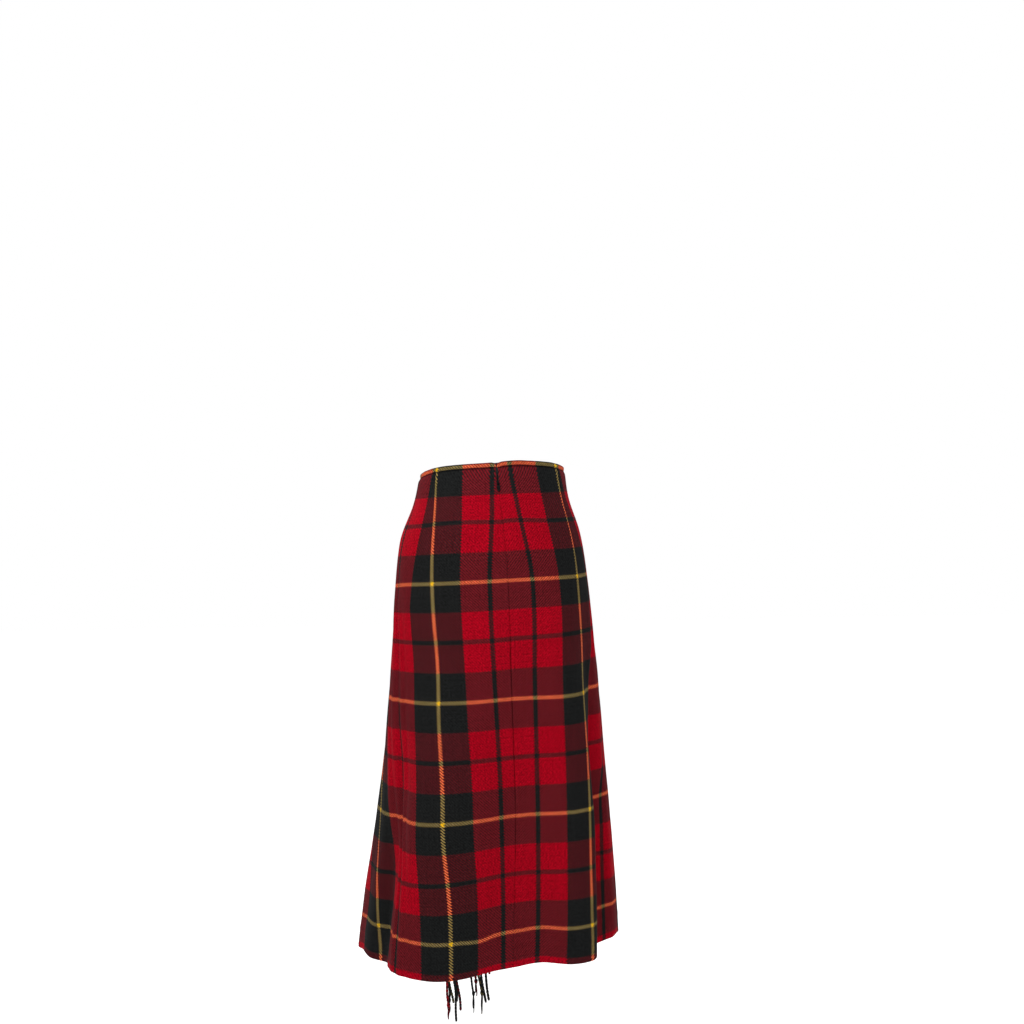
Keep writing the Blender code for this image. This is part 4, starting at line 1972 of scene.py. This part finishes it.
    def build_coil(self, wardrobe: Wardrobe) -> bpy.types.Object:
        """Makes the closed coil: a row of small bars across the seam.

        Args:
            wardrobe: the finishes.

        Returns:
            The coil.
        """
        bm, start = bmesh.new(), self.slider_down + self.body[2] / 2 + 0.0006
        count = int((self.length - start - 0.001) / self.tooth)
        for k in range(count):
            here, across, out, along = self.frame(start + 0.0006 + self.tooth * k)
            bar = bmesh.ops.create_cone(
                bm, cap_ends=True, segments=6, radius1=self.tooth * 0.42, radius2=self.tooth * 0.42,
                depth=self.coil_width * 0.94,
            )["verts"]
            turn = Matrix((along, out, across)).transposed().to_4x4()
            bmesh.ops.transform(bm, matrix=turn, verts=bar)
            middle = here - out * (self.inside + self.coil_depth * 0.45)
            bmesh.ops.translate(bm, verts=bar, vec=middle)
        made = make_piece("coil", bm, [wardrobe.coil])
        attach(made, SKIRT)
        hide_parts("zip_coil")
        return made

    def block(
        self, bm: bmesh.types.BMesh, size: Sequence[float], middle: Sequence[float], bevel: float
    ) -> None:
        """Adds a rounded block. X is across, Y out of the cloth and Z up, from the pull's axis.

        Args:
            bm: the bmesh that it is added to.
            size: its sizes.
            middle: its middle.
            bevel: how far its edges are rounded.
        """
        verts = bmesh.ops.create_cube(bm, size=1.0)["verts"]
        bmesh.ops.scale(bm, verts=verts, vec=size)
        edges = list({edge for vert in verts for edge in vert.link_edges})
        made = bmesh.ops.bevel(
            bm, geom=edges, offset=bevel, segments=2, profile=0.5, affect="EDGES", material=-1
        )
        rounded = {vert for face in made["faces"] for vert in face.verts}
        rounded |= {vert for vert in verts if vert.is_valid}
        bmesh.ops.translate(bm, verts=list(rounded), vec=middle)

    def seat(self, bm: bmesh.types.BMesh) -> None:
        """Moves what was made about the pull's axis to the seam.

        Args:
            bm: what was made.
        """
        here, across, out, along = self.frame(self.slider_down)
        turn = Matrix((across, out, -along)).transposed().to_4x4()
        bmesh.ops.transform(bm, matrix=Matrix.Translation(here + out * self.axis_out) @ turn, verts=bm.verts)

    def build_slider(self, wardrobe: Wardrobe) -> bpy.types.Object:
        """Makes the slider: its body inside, a neck, a rounded plate and the arch that holds the pull.

        Args:
            wardrobe: the finishes.

        Returns:
            The slider.
        """
        bm = bmesh.new()
        inside = -self.axis_out - self.inside
        plate = -self.axis_out + self.clear
        top = plate + self.crown[1]
        wire, thick, reach = self.arch
        arch_top = -top + thick
        neck = (self.neck[0], plate - inside + self.neck_sunk, self.neck[1])
        body_round, neck_round, plate_round, arch_round = self.roundings
        self.block(bm, self.body, (0, inside - self.body[1] / 2, 0), body_round)
        self.block(bm, neck, (0, (plate + inside) / 2, 0), neck_round)
        self.block(bm, self.crown, (0, plate + self.crown[1] / 2, 0), plate_round)
        self.block(bm, self.arch, (0, arch_top - thick / 2, 0), arch_round)
        for way in (1, -1):
            middle = (0, (top + arch_top) / 2 - self.leg_sunk, way * (reach - thick) / 2)
            self.block(bm, (wire, arch_top - top + self.leg_sunk, thick), middle, arch_round)
        self.seat(bm)
        made = make_piece("slider", bm, [wardrobe.metal])
        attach(made, SKIRT)
        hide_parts("zip_slider")
        return made

    def build_pull(self, wardrobe: Wardrobe) -> bpy.types.Object:
        """Makes the drop shaped pull: two outlines bridged, given their thickness and rounded.

        Args:
            wardrobe: the finishes.

        Returns:
            The pull.
        """
        bm = bmesh.new()
        outer = bmesh.ops.create_circle(bm, segments=self.outline, radius=1.0)["verts"]
        inner = bmesh.ops.create_circle(bm, segments=self.outline, radius=1.0)["verts"]
        top, bottom = self.pull_thickness / 2, -self.pull_length + self.pull_thickness / 2
        for ring, width_top, width_low, high, low in (
            (outer, self.pull_top / 2, self.pull_width / 2, top, bottom),
            (inner, self.window[0] / 2, self.window[0] / 2, -top, -top - self.window[1]),
        ):
            for vert in ring:
                across, up = vert.co.x, vert.co.y
                share = ease((1 - up) / 2)
                width = width_top + (width_low - width_top) * share
                shape = self.shoulder if up > 0 else self.drop
                vert.co.x = width * math.copysign(abs(across) ** shape, across)
                vert.co.y = 0.0
                vert.co.z = (high + low) / 2 + (high - low) / 2 * math.copysign(abs(up) ** self.drop, up)
        edges = list({edge for vert in (*outer, *inner) for edge in vert.link_edges})
        faces = bmesh.ops.bridge_loops(bm, edges=edges)["faces"]
        bmesh.ops.recalc_face_normals(bm, faces=faces)
        bmesh.ops.solidify(bm, geom=faces, thickness=self.pull_thickness)
        middle = sum((vert.co.y for vert in bm.verts)) / len(bm.verts)
        bmesh.ops.translate(bm, verts=bm.verts, vec=(0, -middle, 0))
        rims = [edge for edge in bm.edges if edge.calc_face_angle(0.0) > 1.0]
        bmesh.ops.bevel(
            bm, geom=rims, offset=self.pull_round, segments=2, profile=0.5, affect="EDGES", material=-1
        )
        bmesh.ops.recalc_face_normals(bm, faces=bm.faces)
        self.seat(bm)
        made = make_piece("pull_tab", bm, [wardrobe.metal])
        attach(made, PULL)
        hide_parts("zip_pull")
        return made


@dataclass(frozen=True)
class Lamp:
    """A soft lamp: its name, its watts, and how far it hangs towards the camera and to the camera's right."""

    name: str
    watts: float
    near: float
    aside: float


LAMPS = (
    Lamp("key", 16.5, 0.75, -0.75),
    Lamp("fill", 9.5, 0.90, 0.75),
    Lamp("front_left", 9.5, -0.90, -0.70),
    Lamp("front_right", 9.5, -0.90, 0.70),
)
# Width of the picture in pixels.
PICTURE = 1024


@dataclass
class Studio:
    """The pale floor, the soft light and the camera.

    Attributes:
        azimuth: angle of the camera round the part, from the front.
        distance: its distance from the part's axis.
        shift: how far it stands to the side.
        height: its height.
        focal: focal length in pixels of the picture.
        sensor: width of the camera's sensor in millimetres.
        floor: height of the floor.
        glow: how brightly the floor glows to the camera.
        cast: how brightly it glows to the part.
        sky: strength of the light from all round.
        aim: height that the lamps face.
        high: height of the lamps.
        lamp: size of a lamp.
        paint: colour of the floor.
    """

    azimuth: float = 168.0
    distance: float = 2.1
    shift: float = 0.0295
    height: float = -0.067
    focal: float = 1386.0
    sensor: float = 36.0
    floor: float = -0.892
    glow: float = 0.92
    cast: float = 0.55
    sky: float = 0.15
    aim: float = -0.2
    high: float = 1.1
    lamp: float = 0.8
    paint: Colour = (0.62, 0.62, 0.62, 1.0)

    def light(self, name: str, watts: float, place: Vector) -> None:
        """Hangs a soft square lamp that faces the part.

        Args:
            name: its name.
            watts: its power.
            place: where it hangs.
        """
        lamp = bpy.data.lights.new(name, "AREA")
        lamp.energy, lamp.size = watts, self.lamp
        made = bpy.data.objects.new(name, lamp)
        bpy.context.scene.collection.objects.link(made)
        made.location = place
        made.visible_camera = False
        made.rotation_euler = (place - Vector((0, 0, self.aim))).to_track_quat("Z", "Y").to_euler()

    def build(self) -> None:
        """Makes the floor, the lights and the camera."""
        scene = bpy.context.scene
        bm = bmesh.new()
        verts = bmesh.ops.create_grid(bm, x_segments=2, y_segments=2, size=8.0)["verts"]
        bmesh.ops.translate(bm, verts=verts, vec=(0, 0, self.floor))
        pale = Graph("pale_floor", 0.9, Specular_IOR_Level=0.0, Emission_Color=(1.0, 1.0, 1.0, 1.0))
        by_camera = Field(pale, pale.node("ShaderNodeLightPath", {}, {}).outputs["Is Camera Ray"])
        pale.feed(pale.shader.inputs["Emission Strength"], by_camera * (self.glow - self.cast) + self.cast)
        make_piece("floor", bm, [pale.finish(self.paint)], smooth=False)
        world = bpy.data.worlds.new("studio")
        scene.world = world
        world.use_nodes = True
        tree = world.node_tree
        backdrop = tree.nodes["Background"]
        backdrop.inputs["Color"].default_value = (1.0, 1.0, 1.0, 1.0)
        seen, strength = tree.nodes.new("ShaderNodeLightPath"), tree.nodes.new("ShaderNodeMath")
        strength.operation = "MULTIPLY_ADD"
        strength.inputs[1].default_value, strength.inputs[2].default_value = 1 - self.sky, self.sky
        tree.links.new(seen.outputs["Is Camera Ray"], strength.inputs[0])
        tree.links.new(strength.outputs[0], backdrop.inputs["Strength"])
        turn = math.radians(self.azimuth)
        back = Vector((math.sin(turn), -math.cos(turn), 0))
        right = Vector((math.cos(turn), math.sin(turn), 0))
        for lamp in LAMPS:
            place = back * lamp.near + right * lamp.aside + Vector((0, 0, self.high))
            self.light(lamp.name, lamp.watts, place)
        lens = bpy.data.cameras.new("camera")
        lens.sensor_fit, lens.sensor_width = "HORIZONTAL", self.sensor
        lens.lens = self.focal / PICTURE * lens.sensor_width
        camera = bpy.data.objects.new("camera", lens)
        scene.collection.objects.link(camera)
        place = back * self.distance + right * self.shift + Vector((0, 0, self.height))
        turned = Matrix((right, Vector((0, 0, 1)), back)).transposed().to_4x4()
        camera.matrix_world = Matrix.Translation(place) @ turned
        scene.camera = camera
        scene.view_settings.view_transform = "Standard"


def main() -> None:
    """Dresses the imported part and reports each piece."""
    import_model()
    wardrobe = Wardrobe(
        CheckCloth().build(),
        TwistedYarn().build(),
        ZipTapeCloth().build(),
        HardFinish("coil_plastic", paint(30, 30, 31), paint(46, 46, 47), 0.5).build(),
        HardFinish("black_enamel", paint(14, 14, 15), paint(30, 30, 31), 0.3, 0.6).build(),
    )
    skirt = SkirtForm()
    left, right = PanelForm(Side.LEFT, skirt), PanelForm(Side.RIGHT, skirt)
    fringe = Fringe(left).build("apron_fringe", wardrobe)
    edges = {
        form.side: RolledEdge(form).build(f"waist_edge_{form.side.word}", wardrobe) for form in (left, right)
    }
    cloth = {form.side: ClothPanel(form).build(f"{form.side.word}_panel", wardrobe) for form in (left, right)}
    zip_pieces = BackZip(left, right).build(wardrobe)
    for tape in zip_pieces[:2]:
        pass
    Studio().build()
    for made in (fringe, *edges.values(), *cloth.values(), *zip_pieces):
        LOG.info("%s: %d faces", made.name, len(made.data.polygons))


if __name__ == "__main__":
    logging.basicConfig(level=logging.INFO, format="%(message)s")
    main()
